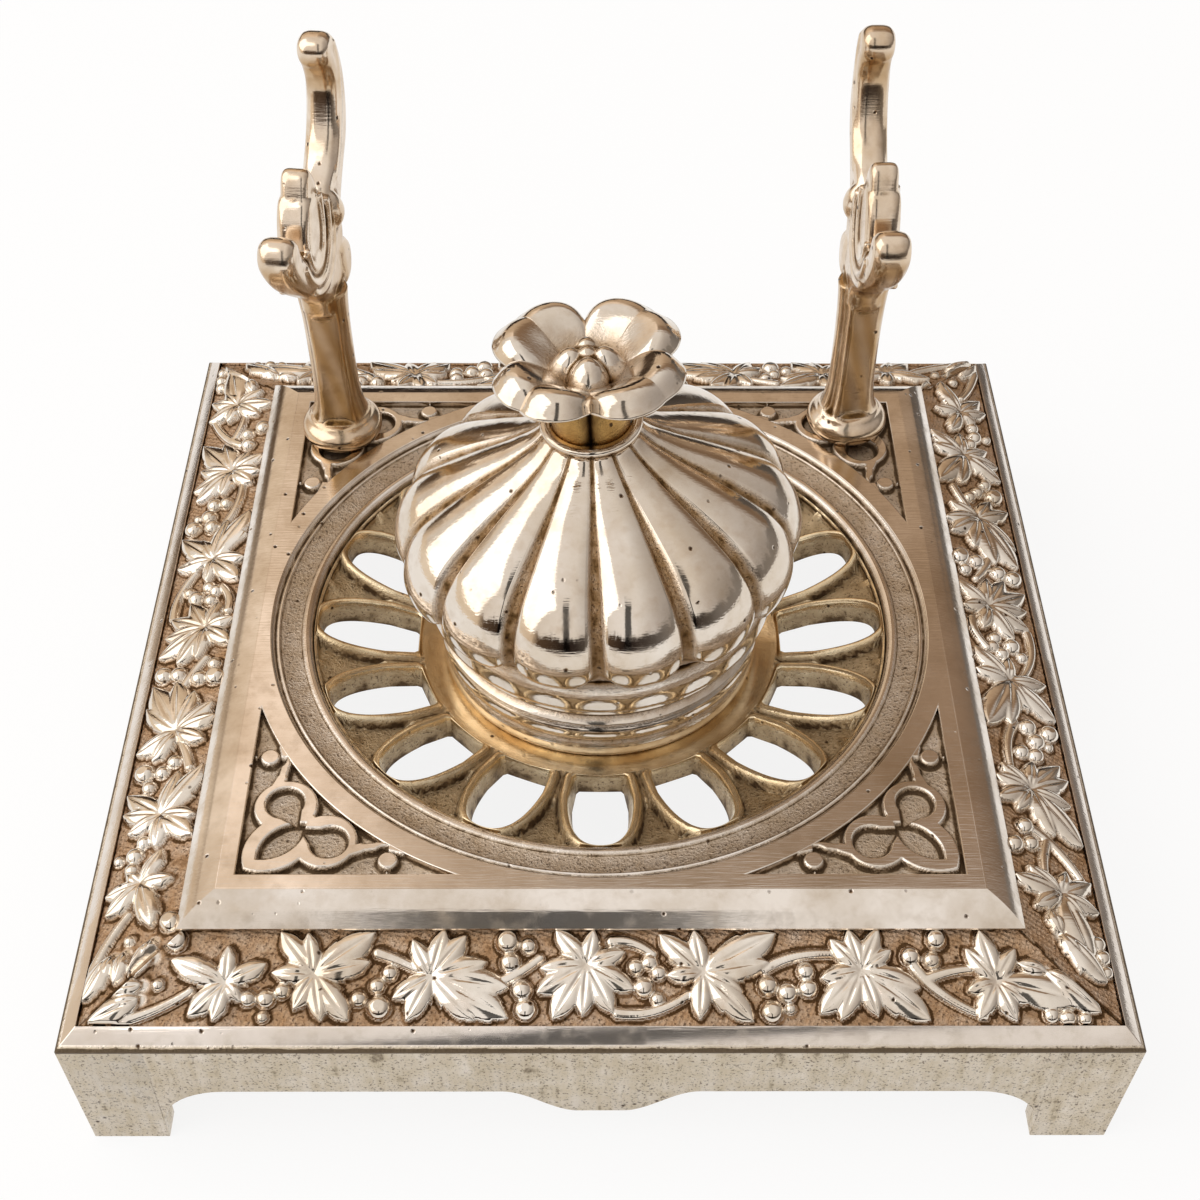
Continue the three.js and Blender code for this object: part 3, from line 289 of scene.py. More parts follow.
vine_grapes = [
    (-59.6, 5.1, 1.8), (-61.5, -1.1, 1.0), (-48.9, -3.1, 1.3), (-46.4, -3.1, 1.5), (-44.2, -2.0, 1.3),
    (-46.7, -5.6, 1.0), (-29.4, 0.5, 1.3), (-31.1, -1.3, 1.3), (-33.6, -3.1, 1.3), (-30.7, -4.3, 1.8),
    (-13.1, 4.9, 1.8), (-10.2, 4.3, 1.3), (-12.7, 2.0, 1.6), (-11.0, -1.9, 1.6), (-10.5, -4.6, 1.7),
    (4.8, 1.3, 1.3), (6.8, 2.0, 1.3), (8.0, 0.5, 1.3), (5.9, -1.5, 1.6), (7.8, -3.1, 1.1),
    (23.1, -1.3, 1.6), (25.8, -2.3, 1.6), (28.5, 0.7, 1.4), (28.7, -1.7, 1.5), (23.6, -4.9, 1.7),
    (26.2, -4.5, 0.9), (43.2, 2.8, 1.5), (46.2, 2.3, 1.4), (47.0, 5.2, 1.6), (62.2, -5.4, 1.3),
    (64.4, -5.8, 1.3), (66.8, -5.9, 1.1),
]
vine_stems = [
    [(-66.6, -6.4), (-60.8, -4.9), (-56.9, -2.0)],
    [(-31.1, 3.3), (-27.7, 2.3), (-24.3, 0.3)],
    [(-15.6, -1.3), (-11.7, 0.0), (-8.5, 2.6)],
    [(2.2, -5.1), (7.3, -5.9), (12.1, -2.6)],
    [(22.8, 1.0), (27.2, 3.8), (33.5, 3.1)],
    [(1.5, 4.9), (4.4, 5.4), (7.3, 3.1)],
    [(43.7, 1.3), (46.6, -3.1), (53.0, -5.6)],
    [(45.2, -0.5), (48.6, 1.0), (52.0, 1.0)],
]


def smooth_step(low, high, value):
    share = np.clip((value - low) / (high - low), 0, 1)
    return share * share * (3 - 2 * share)


def lobe_height(u, v, middle, tip):
    """A puffed lobe from the leaf's middle to its tip, with a saw edge and a vein down its length."""
    along = np.array(tip) - np.array(middle)
    length = hypot(*along)
    along = along / length
    s = ((u - middle[0]) * along[0] + (v - middle[1]) * along[1]) / length
    side = -(u - middle[0]) * along[1] + (v - middle[1]) * along[0]
    inside = np.clip(s, 0, 1)
    teeth = (inside * 2.7 + 0.31 * middle[0]) % 1
    half_width = (1.05 + 0.27 * length) * inside ** 0.5 * (1 - inside ** 2) ** 0.75
    off_middle = np.abs(side) / np.maximum(half_width, 0.05)
    within = off_middle < 0.88 + 0.26 * teeth
    filled = np.clip(1 - (off_middle / 1.14) ** 2, 0, 1)
    puff = np.where(within, 0.22 + 0.78 * filled ** 0.6, 0) * (0.66 + 0.34 * np.sin(pi * inside ** 0.8))
    vein = 0.2 * np.exp(-(off_middle / 0.14) ** 2) * smooth_step(0.04, 0.25, s) * (1 - inside ** 2)
    return np.where((s > 0) & (s < 1), relief * (puff - vein), 0)


def stem_height(u, v, points):
    """A tendril swept along a bent line, half round."""
    first, bend, last = (np.array(p) for p in points)
    best = np.full(u.shape, 9.0)
    for t in np.linspace(0, 1, 26):
        spot = first * (1 - t) ** 2 + 2 * bend * t * (1 - t) + last * t * t
        best = np.minimum(best, np.hypot(u - spot[0], v - spot[1]) - 0.2 * (1 - t))
    return 0.95 * np.sqrt(np.clip(1 - (best / 0.75) ** 2, 0, 1))


def vine_height(u, v, leaves, grapes, stems):
    height = np.zeros(u.shape)
    for stem in stems:
        height = np.maximum(height, stem_height(u, v, stem))
    for middle, tips in leaves:
        reach = max(hypot(t[0] - middle[0], t[1] - middle[1]) for t in tips)
        leaf = np.zeros(u.shape)
        for tip in tips:
            leaf = np.maximum(leaf, lobe_height(u, v, middle, tip))
        eye = np.exp(-((u - middle[0]) ** 2 + (v - middle[1]) ** 2) / 1.1)
        leaf = leaf * (1 - 0.45 * eye) + 0.25 * relief * eye
        height = np.where(np.hypot(u - middle[0], v - middle[1]) < reach + 1, np.maximum(height, leaf), height)
    for along, across, radius in grapes:
        ball = np.sqrt(np.clip(radius ** 2 - (u - along) ** 2 - (v - across) ** 2, 0, None))
        height = np.maximum(height, np.minimum(ball, 1.6))
    return height


def grid_faces(rows, columns, closed=False):
    """Corner numbers of the quads of a grid of points, row by row."""
    number = np.arange(rows * columns).reshape(rows, columns)
    if closed:
        number = np.hstack([number, number[:, :1]])
    return np.stack([number[:-1, :-1], number[:-1, 1:], number[1:, 1:], number[1:, :-1]], axis=-1).reshape(-1, 4)


def marked(mesh, name, shares):
    """Stores a number for each point of a mesh, such as its share of sunk ground."""
    mesh.attributes.new(name, "FLOAT", "POINT").data.foreach_set("value", np.asarray(shares, np.float32).ravel())
    return mesh


def mesh_of(name, points, faces, hollow=None):
    """A smooth mesh from points in mm, with the share of sunk ground at each point."""
    mesh = bpy.data.meshes.new(name)
    mesh.from_pydata((np.asarray(points) / 1000).tolist(), [], [list(map(int, f)) for f in faces])
    if hollow is not None:
        marked(mesh, "hollow", hollow)
    mesh.shade_smooth()
    return mesh


def border_strip(name, turn, mirrored, shift):
    """One strip. The other sides carry the same vine, run the other way or pushed along a little."""
    steps_along, steps_across = ((860, 80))
    width = strip_outer - strip_inner
    slope = atan2(strip_high - strip_low, width)
    face_half = width / 2 / cos(slope)
    across, along = np.meshgrid(np.linspace(-1, 1, steps_across), np.linspace(-1, 1, steps_along), indexing="ij")
    half = (strip_outer + strip_inner) / 2 - across * width / 2
    u, v = along * (half - strip_mitre), across * face_half
    height = vine_height((-u if mirrored else u) + shift, v, vine_leaves, vine_grapes, vine_stems)
    hatch = 0.05 * np.sin(2.2 * u + 9 * v + 2 * np.sin(u)) + 0.04 * np.sin(7.3 * u - 4 * v)
    raised = smooth_step(0.03, 0.35, height)
    # A dark line of painted shade lies round the foot of every leaf and berry
    leaf_foot_shade = raised.copy()
    for step in range(1, 4):
        for axis in (0, 1):
            for push in (-step, step):
                leaf_foot_shade = np.maximum(leaf_foot_shade, np.roll(raised, push, axis))
    height = height + (1 - raised) * hatch
    edge = np.minimum(face_half - np.abs(v), half - strip_mitre - np.abs(u))
    height = np.minimum(height, 0.1 + 2.2 * np.clip(edge, 0, None))
    y = np.maximum(-half - height * sin(slope), -strip_outer)
    z = strip_low + (strip_high - strip_low) * (across + 1) / 2 + height * cos(slope)
    top = np.stack([u, y, z], axis=-1).reshape(-1, 3)
    number = np.arange(steps_across * steps_along).reshape(steps_across, steps_along)
    border = np.concatenate([number[0], number[1:, -1], number[-1, -2::-1], number[-2:0:-1, 0]])
    below = top[border].copy()
    below[:, 2] = strip_foot
    lower = len(top) + np.arange(len(border))
    sides = np.stack([np.roll(border, -1), border, lower, np.roll(lower, -1)], axis=-1)
    points = np.vstack([top, below]) @ np.array(Matrix.Rotation(turn, 3, "Z")).T
    faces = grid_faces(steps_across, steps_along).tolist() + sides.tolist() + [lower[::-1].tolist()]
    # The sunk ground's tarnish, darkened further by painted shade round the foot of the relief
    tarnish_and_shade = (1 - raised) * (0.72 + 0.3 * leaf_foot_shade)
    return mesh_of(name, points, faces, np.concatenate([tarnish_and_shade.ravel(), np.ones(len(border))]))


vine_plate = plated_silver("plated_brass_vine", "#F0E8DD", "#D0C0AB", "#B48B5F", 0.06, 0.06)
for side, quarter, mirrored, shift in (("front", 0, False, 0), ("right", 1, True, 3), ("rear", 2, False, 2),
                                       ("left", 3, True, -2)):
    strip = border_strip(f"vine_{side}", quarter * pi / 2, mirrored, shift)
    finished(f"vine_{side}", strip, vine_plate, "stand", "border", f"vine_border_{side}")


# Panel: a raised square plate with a polished, rounded bevel over a cove. Its top is cut away in four
# spandrels and steps down in a ring of mouldings to the rosette.
# In mm: height and half width of the flat top, half width and height of the bevel's foot and of the cove, the
# ring's radius, and half width, arc and depth of the spandrels
panel_top, panel_half = 34.5, 54.6
bevel_half, bevel_foot, cove_half, cove_top = 59.6, 32.0, 58.75, 31.5
ring_radius = 52.6
spandrel_half, spandrel_radius, spandrel_depth = 52.0, 56.0, 1.2


def arc(radius, start, end, steps):
    return [(radius * cos(a), radius * sin(a)) for a in np.linspace(start, end, steps)]


def flat_plate(name, outlines, low, high, rounding):
    """A plate cut to closed outlines in mm, with eased edges."""
    curve = bpy.data.curves.new(name, "CURVE")
    curve.dimensions = "2D"
    curve.fill_mode = "BOTH"
    curve.extrude = (high - low) / 2000 - rounding / 1000
    curve.bevel_depth = rounding / 1000
    curve.bevel_resolution = 2
    curve.offset = -rounding / 1000
    for outline in outlines:
        spline = curve.splines.new("POLY")
        spline.points.add(len(outline) - 1)
        for point, (x, y) in zip(spline.points, outline):
            point.co = (x / 1000, y / 1000, 0, 1)
        spline.use_cyclic_u = True
    mesh = made_plain(new_object(name, curve))
    mesh.transform(Matrix.Translation((0, 0, (low + high) / 2000)))
    return mesh


def turned(name, profile, segments, hollow=None, square=False):
    """A closed profile of (radius, height) turned about Z, or carried round a square with mitred corners."""
    if square:
        angles = np.array([-0.25, 0.25, 0.75, 1.25]) * pi
        stretch = sqrt(2)
    else:
        angles = np.linspace(0, 2 * pi, segments, endpoint=False) - pi / 2
        stretch = 1
    points = [(r * stretch * cos(a), r * stretch * sin(a), z) for r, z in profile for a in angles]
    faces = grid_faces(len(profile), len(angles), closed=True).tolist()
    last = (len(profile) - 1) * len(angles)
    faces += [[last + i, last + (i + 1) % len(angles), (i + 1) % len(angles), i] for i in range(len(angles))]
    sunk = None if hollow is None else np.repeat(hollow, len(angles))
    return mesh_of(name, points, faces, sunk)


def joined(name, meshes, merge=True):
    """Several meshes as one, seams merged and faces turned outwards."""
    work = bmesh.new()
    for mesh in meshes:
        work.from_mesh(mesh)
    if merge:
        bmesh.ops.remove_doubles(work, verts=work.verts, dist=2e-6)
        bmesh.ops.recalc_face_normals(work, faces=work.faces)
    result = bpy.data.meshes.new(name)
    work.to_mesh(result)
    work.free()
    return result


def auto_smooth(mesh, angle):
    """Smooth shading, with sharp edges above an angle."""
    work = bmesh.new()
    work.from_mesh(mesh)
    for edge in work.edges:
        edge.smooth = len(edge.link_faces) == 2 and edge.calc_face_angle(0) < radians(angle)
    for face in work.faces:
        face.smooth = True
    work.to_mesh(mesh)
    work.free()
    return mesh



def spandrel_outline():
    end = sqrt(spandrel_radius ** 2 - spandrel_half ** 2)
    start = atan2(spandrel_half, end)
    return [(spandrel_half, spandrel_half)] + arc(spandrel_radius, pi / 2 - start, start, 40)


# Cosine and sine of each quarter turn
quarter_turns = [(1, 0), (0, 1), (-1, 0), (0, -1)]
square_outline = [(-panel_half, -panel_half), (panel_half, -panel_half), (panel_half, panel_half),
                  (-panel_half, panel_half)]
top_outlines = [square_outline, arc(ring_radius, 0, 2 * pi * 239 / 240, 240)]
top_outlines += [[(c * x - s * y, s * x + c * y) for x, y in spandrel_outline()] for c, s in quarter_turns]
panel_face = flat_plate("panel_face", top_outlines, panel_top - spandrel_depth - 0.6, panel_top, 0.18)
bevel_profile = [(panel_half - 0.3, panel_top - 0.02)]
for step in np.linspace(0, 1, 9):
    bulge = 0.5 * sin(pi * step)
    bevel_profile.append((panel_half + (bevel_half - panel_half) * step + bulge * 0.5,
                          panel_top - (panel_top - bevel_foot) * step + bulge * 0.85))
bevel_profile += [(bevel_half + 0.05, bevel_foot - 0.25), (bevel_half - 0.2, bevel_foot - 0.4),
                  (cove_half, cove_top), (cove_half, strip_foot), (cove_half - 3, strip_foot),
                  (cove_half - 3, panel_top - 2.5), (panel_half - 0.3, panel_top - 2.5)]
panel_bevel = turned("panel_bevel", bevel_profile, 4, [0] * 11 + [0.3] + [1] * 5, square=True)
# The ring's mouldings: how far each point is out from the ring's edge and below the top, and how sunk it is
ring = [(0.1, 0.12, 0), (-0.2, 0.3, 0.1), (-0.45, 0.85, 1), (-0.7, 0.95, 1), (-0.85, 0.72, 0.1), (-1.1, 0.68, 0),
        (-1.3, 1.0, 0.9), (-1.55, 1.1, 0.62), (-4.5, 1.45, 0.58), (-4.7, 1.4, 1), (-4.9, 1.05, 0.3), (-5.3, 0.95, 0),
        (-5.7, 1.0, 0), (-6.1, 1.25, 0.1), (-6.35, 1.7, 0.9), (-6.35, 3, 1), (0.1, 3, 1)]
panel_ring = turned("panel_ring", [(ring_radius + away, panel_top - down) for away, down, _ in ring], 240,
                    [sunk for _, _, sunk in ring])


# Tracery of the spandrels: a trefoil of flat bands round three pierced eyes, with a scroll running out along
# each side to the arc, left standing flush with the panel over a gritted ground.
def tracery_height(x, y):
    """Height above the sunk ground and depth inside the bands, in mm, at (x, y) in from the corner."""

    def disc(cx, cy, radius):
        return radius - np.hypot(x - cx, y - cy)

    def almond(near, far, half_width):
        """Inside of a pointed ellipse on the diagonal, from one point to the other."""
        middle, length = (near + far) / 2, (far - near) * sqrt(2)
        radius = (length ** 2 / 4 + half_width ** 2) / (2 * half_width)
        aside = (radius - half_width) / sqrt(2)
        return np.minimum(*(disc(middle - way * aside, middle + way * aside, radius) for way in (1, -1)))

    def drop(cx, cy, radius, tip_x, tip_y):
        """Inside of a teardrop: a disc drawn out to a tip."""
        along_x, along_y = tip_x - cx, tip_y - cy
        length = hypot(along_x, along_y)
        t = ((x - cx) * along_x + (y - cy) * along_y) / length ** 2
        side = np.abs((x - cx) * along_y - (y - cy) * along_x) / length
        cone = np.where((t > 0) & (t < 1), radius * 1.04 * (1 - t) - side, -1)
        return np.maximum(disc(cx, cy, radius), cone)

    solid = almond(0.8, 10.6, 4.6)
    eyes = almond(2.9, 8.9, 1.95)
    for flip in (False, True):
        def placed(along, across):
            return (across, along) if flip else (along, across)
        solid = np.maximum(solid, disc(*placed(12.2, 5.9), 4.9))
        eyes = np.maximum(eyes, drop(*placed(12.8, 5.7), 2.6, *placed(8.6, 8.0)))
        # The scroll, wide at the lobe, and the curled knob that touches the straight side
        a, b = (y, x) if flip else (x, y)
        scroll = [(14.6, 3.6), (17.4, 4.7), (20.2, 5.1), (23.6, 4.2)]
        for (x0, y0), (x1, y1), wide in zip(scroll, scroll[1:], (1.05, 0.85, 0.85)):
            t = np.clip(((a - x0) * (x1 - x0) + (b - y0) * (y1 - y0)) / ((x1 - x0) ** 2 + (y1 - y0) ** 2), 0, 1)
            solid = np.maximum(solid, wide - np.hypot(a - x0 - t * (x1 - x0), b - y0 - t * (y1 - y0)))
        knob = 1.65 - np.hypot(a - 21.5, b - 2.5)
        gap = 0.42 - np.abs(np.hypot(a - 21.2, b - 2.9) - 1.5)
        gap = np.where((a < 21.4) & (b > 2.9), gap, -1)
        solid = np.maximum(np.minimum(solid, -gap), np.maximum(knob, 0.4 - np.hypot((a - 21.5) * 1.5, b - 0.4)))
    inside = np.minimum(solid, -eyes)
    return spandrel_depth * smooth_step(0, 0.34, inside), inside


def spandrel(c, s):
    """Ground and tracery of one spandrel, over a grid a little larger than the opening above it."""
    steps = 240
    reach = spandrel_half - sqrt(spandrel_radius ** 2 - spandrel_half ** 2) + 1.2
    grid = np.linspace(-0.5, reach, steps)
    x, y = np.meshgrid(grid, grid, indexing="ij")
    height, inside_band = tracery_height(x, y)
    px, py = spandrel_half - x, spandrel_half - y
    z = panel_top - spandrel_depth + height - 0.02
    inside = np.hypot(px, py).ravel() > spandrel_radius - 0.6
    points = np.stack([px, py, z], axis=-1).reshape(-1, 3) @ np.array([[c, s, 0], [-s, c, 0], [0, 0, 1]])
    quads = [f for f in grid_faces(steps, steps) if inside[f].all()]
    used = np.unique(quads)
    renumber = np.zeros(steps * steps, dtype=int)
    renumber[used] = np.arange(len(used))
    # Painted shade darkens the sunk ground towards the foot of the bands and of the spandrel's walls
    distance_for_wall_shade = np.minimum(np.minimum(-inside_band, np.hypot(px, py) - spandrel_radius), np.minimum(x, y))
    sunk = (1 - smooth_step(0.5, 1.0, height / spandrel_depth)) * (0.55 + 0.5 * smooth_step(0.75, 0.1, distance_for_wall_shade))
    mesh = mesh_of("spandrel", points[used], renumber[np.array(quads)], sunk.ravel()[used])
    work = bmesh.new()
    work.from_mesh(mesh)
    rim = bmesh.ops.extrude_edge_only(work, edges=[e for e in work.edges if e.is_boundary])
    for vert in (v for v in rim["geom"] if isinstance(v, bmesh.types.BMVert)):
        vert.co.z = (panel_top - spandrel_depth - 0.5) / 1000
    bmesh.ops.holes_fill(work, edges=[e for e in work.edges if e.is_boundary], sides=0)
    bmesh.ops.recalc_face_normals(work, faces=work.faces)
    work.to_mesh(mesh)
    work.free()
    return smoothed(mesh)


panel_plate = plated_silver("plated_brass_panel", "#F0E8DF", "#CBBCA9", "#B39B7C", 0.09, 0.1)
rims = [auto_smooth(panel_face, 35), auto_smooth(panel_bevel, 14), auto_smooth(panel_ring, 60)]
carved = joined("panel", rims + [spandrel(*turn) for turn in quarter_turns], merge=False)
finished("panel_carved", carved, panel_plate, "stand", "panel", "panel")
# Four steel screws hold the panel down from below
screw_steel = plated_silver("turned_steel_screws", "#B9B6B1", "#94908A", "#55504A", 0.24, 0.04)
fitting_brass = plated_silver("turned_brass_fittings", "#C9A86C", "#A8864F", "#6E5330", 0.2, 0.04)
coat(screw_steel, *(f"panel_screw_{row}_{side}" for row in ("front", "rear") for side in ("left", "right")))


# Rosette: a dished brass plate let into the panel, pierced by sixteen openings with a raised lip round
# each. Its ribs are polished gilt brass, and the triangles between the outer ends are punched with grit.
petal_count = 16
# In mm: radii of the rim, of the collar and of the hub's hole, the heights of the three, and the plate's thickness
rosette_rim, collar_radius, rosette_inner = 45.95, 28.8, 25.2
rim_z, collar_z, hub_z = 32.3, 28.2, 27.5
rosette_thick = 3.4
# How deep the ground between the openings is sunk, how high their lips stand and how deep a groove runs round them
pocket_depth, lip_height, groove_depth = 1.15, 0.7, 0.35
# How far out an opening starts, is widest and ends, its half width at both, and how full its outer end is
opening_inner, opening_widest, opening_outer = 29.4, 34.6, 45.5
inner_half, widest_half, fullness = 4.2, 4.9, 2.5
# The line in an opening from whose ends and sides the plate spreads, and the point that its walls draw in to
spread_start, spread_end, opening_middle = 31.5, 42.5, 37


def bent_line(corners, counts):
    """Points along a bent line, with a count for each stretch."""
    return [(x0 + (x1 - x0) * t, y0 + (y1 - y0) * t) for (x0, y0), (x1, y1), count in zip(corners, corners[1:], counts)
            for t in np.linspace(0, 1, count, endpoint=False)]


def opening_outline():
    """The opening's edge in plan, with a straight inner end, centred on the way to the front."""
    corner, side = (inner_half - 0.5, opening_inner), (inner_half, opening_inner + 0.6)
    points = bent_line([(-corner[0], corner[1]), corner, side, (widest_half, opening_widest)], (16, 3, 11))
    # The outer end is fuller than half an ellipse
    for a in np.linspace(0, pi, 44)[:-1]:
        aside = abs(cos(a)) ** (2 / fullness) * (1 if cos(a) > 0 else -1)
        points.append((widest_half * aside,
                       opening_widest + (opening_outer - opening_widest) * sin(a) ** (2 / fullness)))
    points += bent_line([(-widest_half, opening_widest), (-side[0], side[1]), (-corner[0], corner[1])], (11, 3))
    return np.array(points)


def outline_distance(x, y, outline):
    best = np.full(x.shape, 99.0)
    ends = np.roll(outline, -1, axis=0)
    for (x0, y0), (x1, y1) in zip(outline, ends):
        dx, dy = x1 - x0, y1 - y0
        t = np.clip(((x - x0) * dx + (y - y0) * dy) / (dx * dx + dy * dy), 0, 1)
        best = np.minimum(best, np.hypot(x - x0 - t * dx, y - y0 - t * dy))
    return best


def rosette_sector():
    """One sixteenth of the plate: rings of points from the opening's edge out to the sector's sides."""
    outline = opening_outline()
    half_pitch = pi / petal_count
    rings_out = np.concatenate([np.linspace(0, 0.3, 7)[:-1], np.linspace(0.3, 1, 9)])
    edge = []
    for x, y in outline:
        # The way out from the opening's middle line meets the sector's side or one of its arcs
        direction = np.array([x, y - float(np.clip(y, spread_start, spread_end))])
        direction = direction / (np.linalg.norm(direction) + 1e-9)
        far, stride, furthest = 0.0, 0.05, 12
        spot = np.array([x, y])
        while True:
            ahead = spot + direction * stride
            r, turn_out = hypot(*ahead), abs(atan2(ahead[0], ahead[1]))
            if r > rosette_rim or r < collar_radius or turn_out > half_pitch or far > furthest:
                break
            spot, far = ahead, far + stride
        r, around = hypot(*spot), atan2(spot[0], spot[1])
        if abs(abs(around) - half_pitch) < 0.004:
            around = half_pitch if around > 0 else -half_pitch
        if r > rosette_rim - 0.12:
            r = rosette_rim
        if r < collar_radius + 0.12:
            r = collar_radius
        edge.append((r * sin(around), r * cos(around)))
    edge = np.array(edge)
    # Corners of the sector are given to the rays that pass nearest
    for r in (rosette_rim, collar_radius):
        for way in (-1, 1):
            corner = np.array([r * sin(way * half_pitch), r * cos(way * half_pitch)])
            edge[np.argmin(np.hypot(*(edge - corner).T))] = corner
    plan = np.array([outline * (1 - t) + edge * t for t in rings_out])
    x, y = plan[..., 0], plan[..., 1]
    radius = np.hypot(x, y)
    away = outline_distance(x, y, outline)
    dish = collar_z + (rim_z - collar_z) * (radius - collar_radius) / (rosette_rim - collar_radius)
    lip = lip_height * np.sqrt(np.clip(1 - ((away - 0.62) / 0.66) ** 2, 0, 1))
    groove = -groove_depth * np.exp(-((away - 1.62) / 0.3) ** 2)
    near_rim = smooth_step(0.1, 0.5, rosette_rim - 0.1 - radius)
    pocket = smooth_step(1.45, 1.75, away) * smooth_step(35.2, 36.6, radius) * near_rim
    inner_fade = smooth_step(0.15, 0.8, radius - collar_radius)
    outer_fade = smooth_step(0.05, 0.4, rosette_rim - radius)
    height = dish + (lip + groove) * inner_fade * outer_fade - pocket_depth * pocket
    sunk = np.clip(0.5 * pocket + 0.85 * np.exp(-((away - 1.55) / 0.3) ** 2) + 0.08, 0, 1)
    # The opening narrows downwards, as the mould needed
    wall = [np.stack([x[0] * (1 - 0.13 * draft), -opening_middle - (y[0] - opening_middle) * (1 - 0.05 * draft),
                      dish[0] - drop], axis=-1) for drop, draft in ((1.2, 0.6), (rosette_thick, 1))]
    bottom = [np.stack([x[k], -y[k], dish[k] - rosette_thick], axis=-1) for k in (6, 10, -1)]
    rows = list(np.stack([x, -y, height], axis=-1)[::-1]) + wall + bottom
    # The openings' walls and the plate's underside get a high sunk share, painted dark as shade inside the openings
    sunk_rows = list(sunk[::-1]) + [np.full(len(outline), s) for s in (0.7, 0.95, 1, 1, 1)]
    faces = grid_faces(len(rows), len(outline), closed=True)
    return mesh_of("rosette_sector", np.concatenate(rows), faces, np.concatenate(sunk_rows))


def grouped(name, inputs):
    """A Geometry Nodes group with a geometry input and named sizes, its inputs, and the function that adds nodes."""
    group = bpy.data.node_groups.new(name, "GeometryNodeTree")
    group.interface.new_socket("Geometry", in_out="INPUT", socket_type="NodeSocketGeometry")
    for label, (kind, value) in inputs.items():
        group.interface.new_socket(label, in_out="INPUT", socket_type="NodeSocket" + kind).default_value = value
    group.interface.new_socket("Geometry", in_out="OUTPUT", socket_type="NodeSocketGeometry")
    add = partial(add_node, group)
    return group, add("NodeGroupInput").node.outputs, add


def made_by(group, start_mesh, values):
    """The plain mesh that the group makes from a start mesh, its inputs set by their identifiers."""
    holder = new_object("holder", start_mesh)
    modifier = holder.modifiers.new("build", "NODES")
    modifier.node_group = group
    for item in group.interface.items_tree:
        if item.item_type == "SOCKET" and item.in_out == "INPUT" and item.name in values:
            modifier[item.identifier] = values[item.name]
    return made_plain(holder)


gilt_brass = plated_silver("gilt_brass_rosette", "#F0DFBE", "#D0B386", "#9A8364", 0.11, 0.06)
wheel, given, add = grouped("sectors_round_wheel", {"Sectors": ("Int", 16), "Metal": ("Material", None)})
pitch = add("Math", (2 * pi, given["Sectors"]), operation="DIVIDE")
turn_to = add("CombineXYZ", {2: add("Math", (add("GeometryNodeInputIndex"), pitch), operation="MULTIPLY")})
places = add("GeometryNodePoints", {"Count": given["Sectors"]})
round_it = add("GeometryNodeInstanceOnPoints", {"Points": places, "Instance": given["Geometry"],
                                                "Rotation": turn_to})
real = add("GeometryNodeRealizeInstances", (round_it,))
welded = add("GeometryNodeMergeByDistance", {0: real, "Distance": 0.00002})
coated = add("GeometryNodeSetMaterial", {0: welded, "Material": given["Metal"]})
add("NodeGroupOutput", (coated,))
plate = made_by(wheel, rosette_sector(), {"Sectors": petal_count, "Metal": gilt_brass})
hub_profile = [(rosette_inner - 1.2, hub_z), (collar_radius - 2.6, hub_z + 0.15), (collar_radius - 1, hub_z + 0.5),
               (collar_radius, collar_z), (collar_radius, collar_z - rosette_thick), (3, hub_z - 3),
               (3, hub_z - 0.1), (rosette_inner - 1.2, hub_z - 0.1)]
hub = turned("rosette_hub", hub_profile, 160, [0.1, 0.05, 0.05, 0.2, 1, 1, 1, 1])
# The flange that sits in the panel's recess
flange_radius, flange_top, flange_foot = 49.4, 31.2, 29.0
flange_profile = [(rosette_rim, rim_z), (rosette_rim + 0.15, rim_z - 0.1), (rosette_rim + 0.15, flange_top),
                  (flange_radius, flange_top), (flange_radius, flange_foot), (rosette_rim - 0.4, flange_foot),
                  (rosette_rim - 0.4, rim_z - 0.2)]
flange = turned("rosette_flange", flange_profile, 128, [0.2, 1, 1, 1, 1, 1, 1])
pierced = auto_smooth(joined("rosette", [plate, hub, flange]), 45)
finished("rosette_pierced", pierced, gilt_brass, "stand", "rosette", "rosette")


# Inkwell: a turned drum of plated brass with two rolls and a sharp bead, standing on the rosette's hub.
well_foot = 27.7
well_profile = [(0.5, well_foot), (24.6, well_foot), (24.9, 27.9), (25.3, 28.4), (25.45, 29.1), (25.45, 29.9),
                (25.3, 30.6), (24.9, 31.1), (24.65, 31.3), (24.95, 31.55), (25.4, 32.1), (25.6, 32.9),
                (25.55, 33.7), (25.2, 34.4), (24.75, 34.8), (24.6, 35.1), (24.75, 35.45), (25.3, 35.8),
                (25.85, 36.15), (25.95, 36.35), (25.8, 36.6), (25.2, 36.85), (24.9, 37.15), (25.0, 37.6),
                (25.5, 38.1), (25.95, 38.6), (26.05, 39.0), (25.95, 39.4), (25.7, 39.5), (22.1, 39.5),
                (22.0, 39.4), (22.0, 30.2), (0.5, 30.2)]
well_sunk = [1, 0.6, 0.1, 0, 0, 0, 0.1, 0.5, 0.8, 0.4, 0, 0, 0, 0, 0.3, 0.5, 0.3, 0, 0, 0, 0, 0.3, 0.5, 0.3, 0, 0, 0,
             0, 0.2, 0.4, 0.8, 1, 1]
polished_plate = plated_silver("plated_brass_polished", "#E6DCD0", "#CFBEA8", "#A57F4C", 0.06, 0.1)
drum = auto_smooth(turned("well", well_profile, 192, well_sunk), 50)
finished("well_drum", drum, polished_plate, "stand", "polished", "well_body")
# A steel screw and a brass washer hold it from below, and a loose glass liner holds the ink
coat(screw_steel, "well_screw")
coat(fitting_brass, "well_washer")
glass = bpy.data.materials.new("clear_liner_glass")
add = adder_for(glass)
place = add("TexCoord", output="Object")
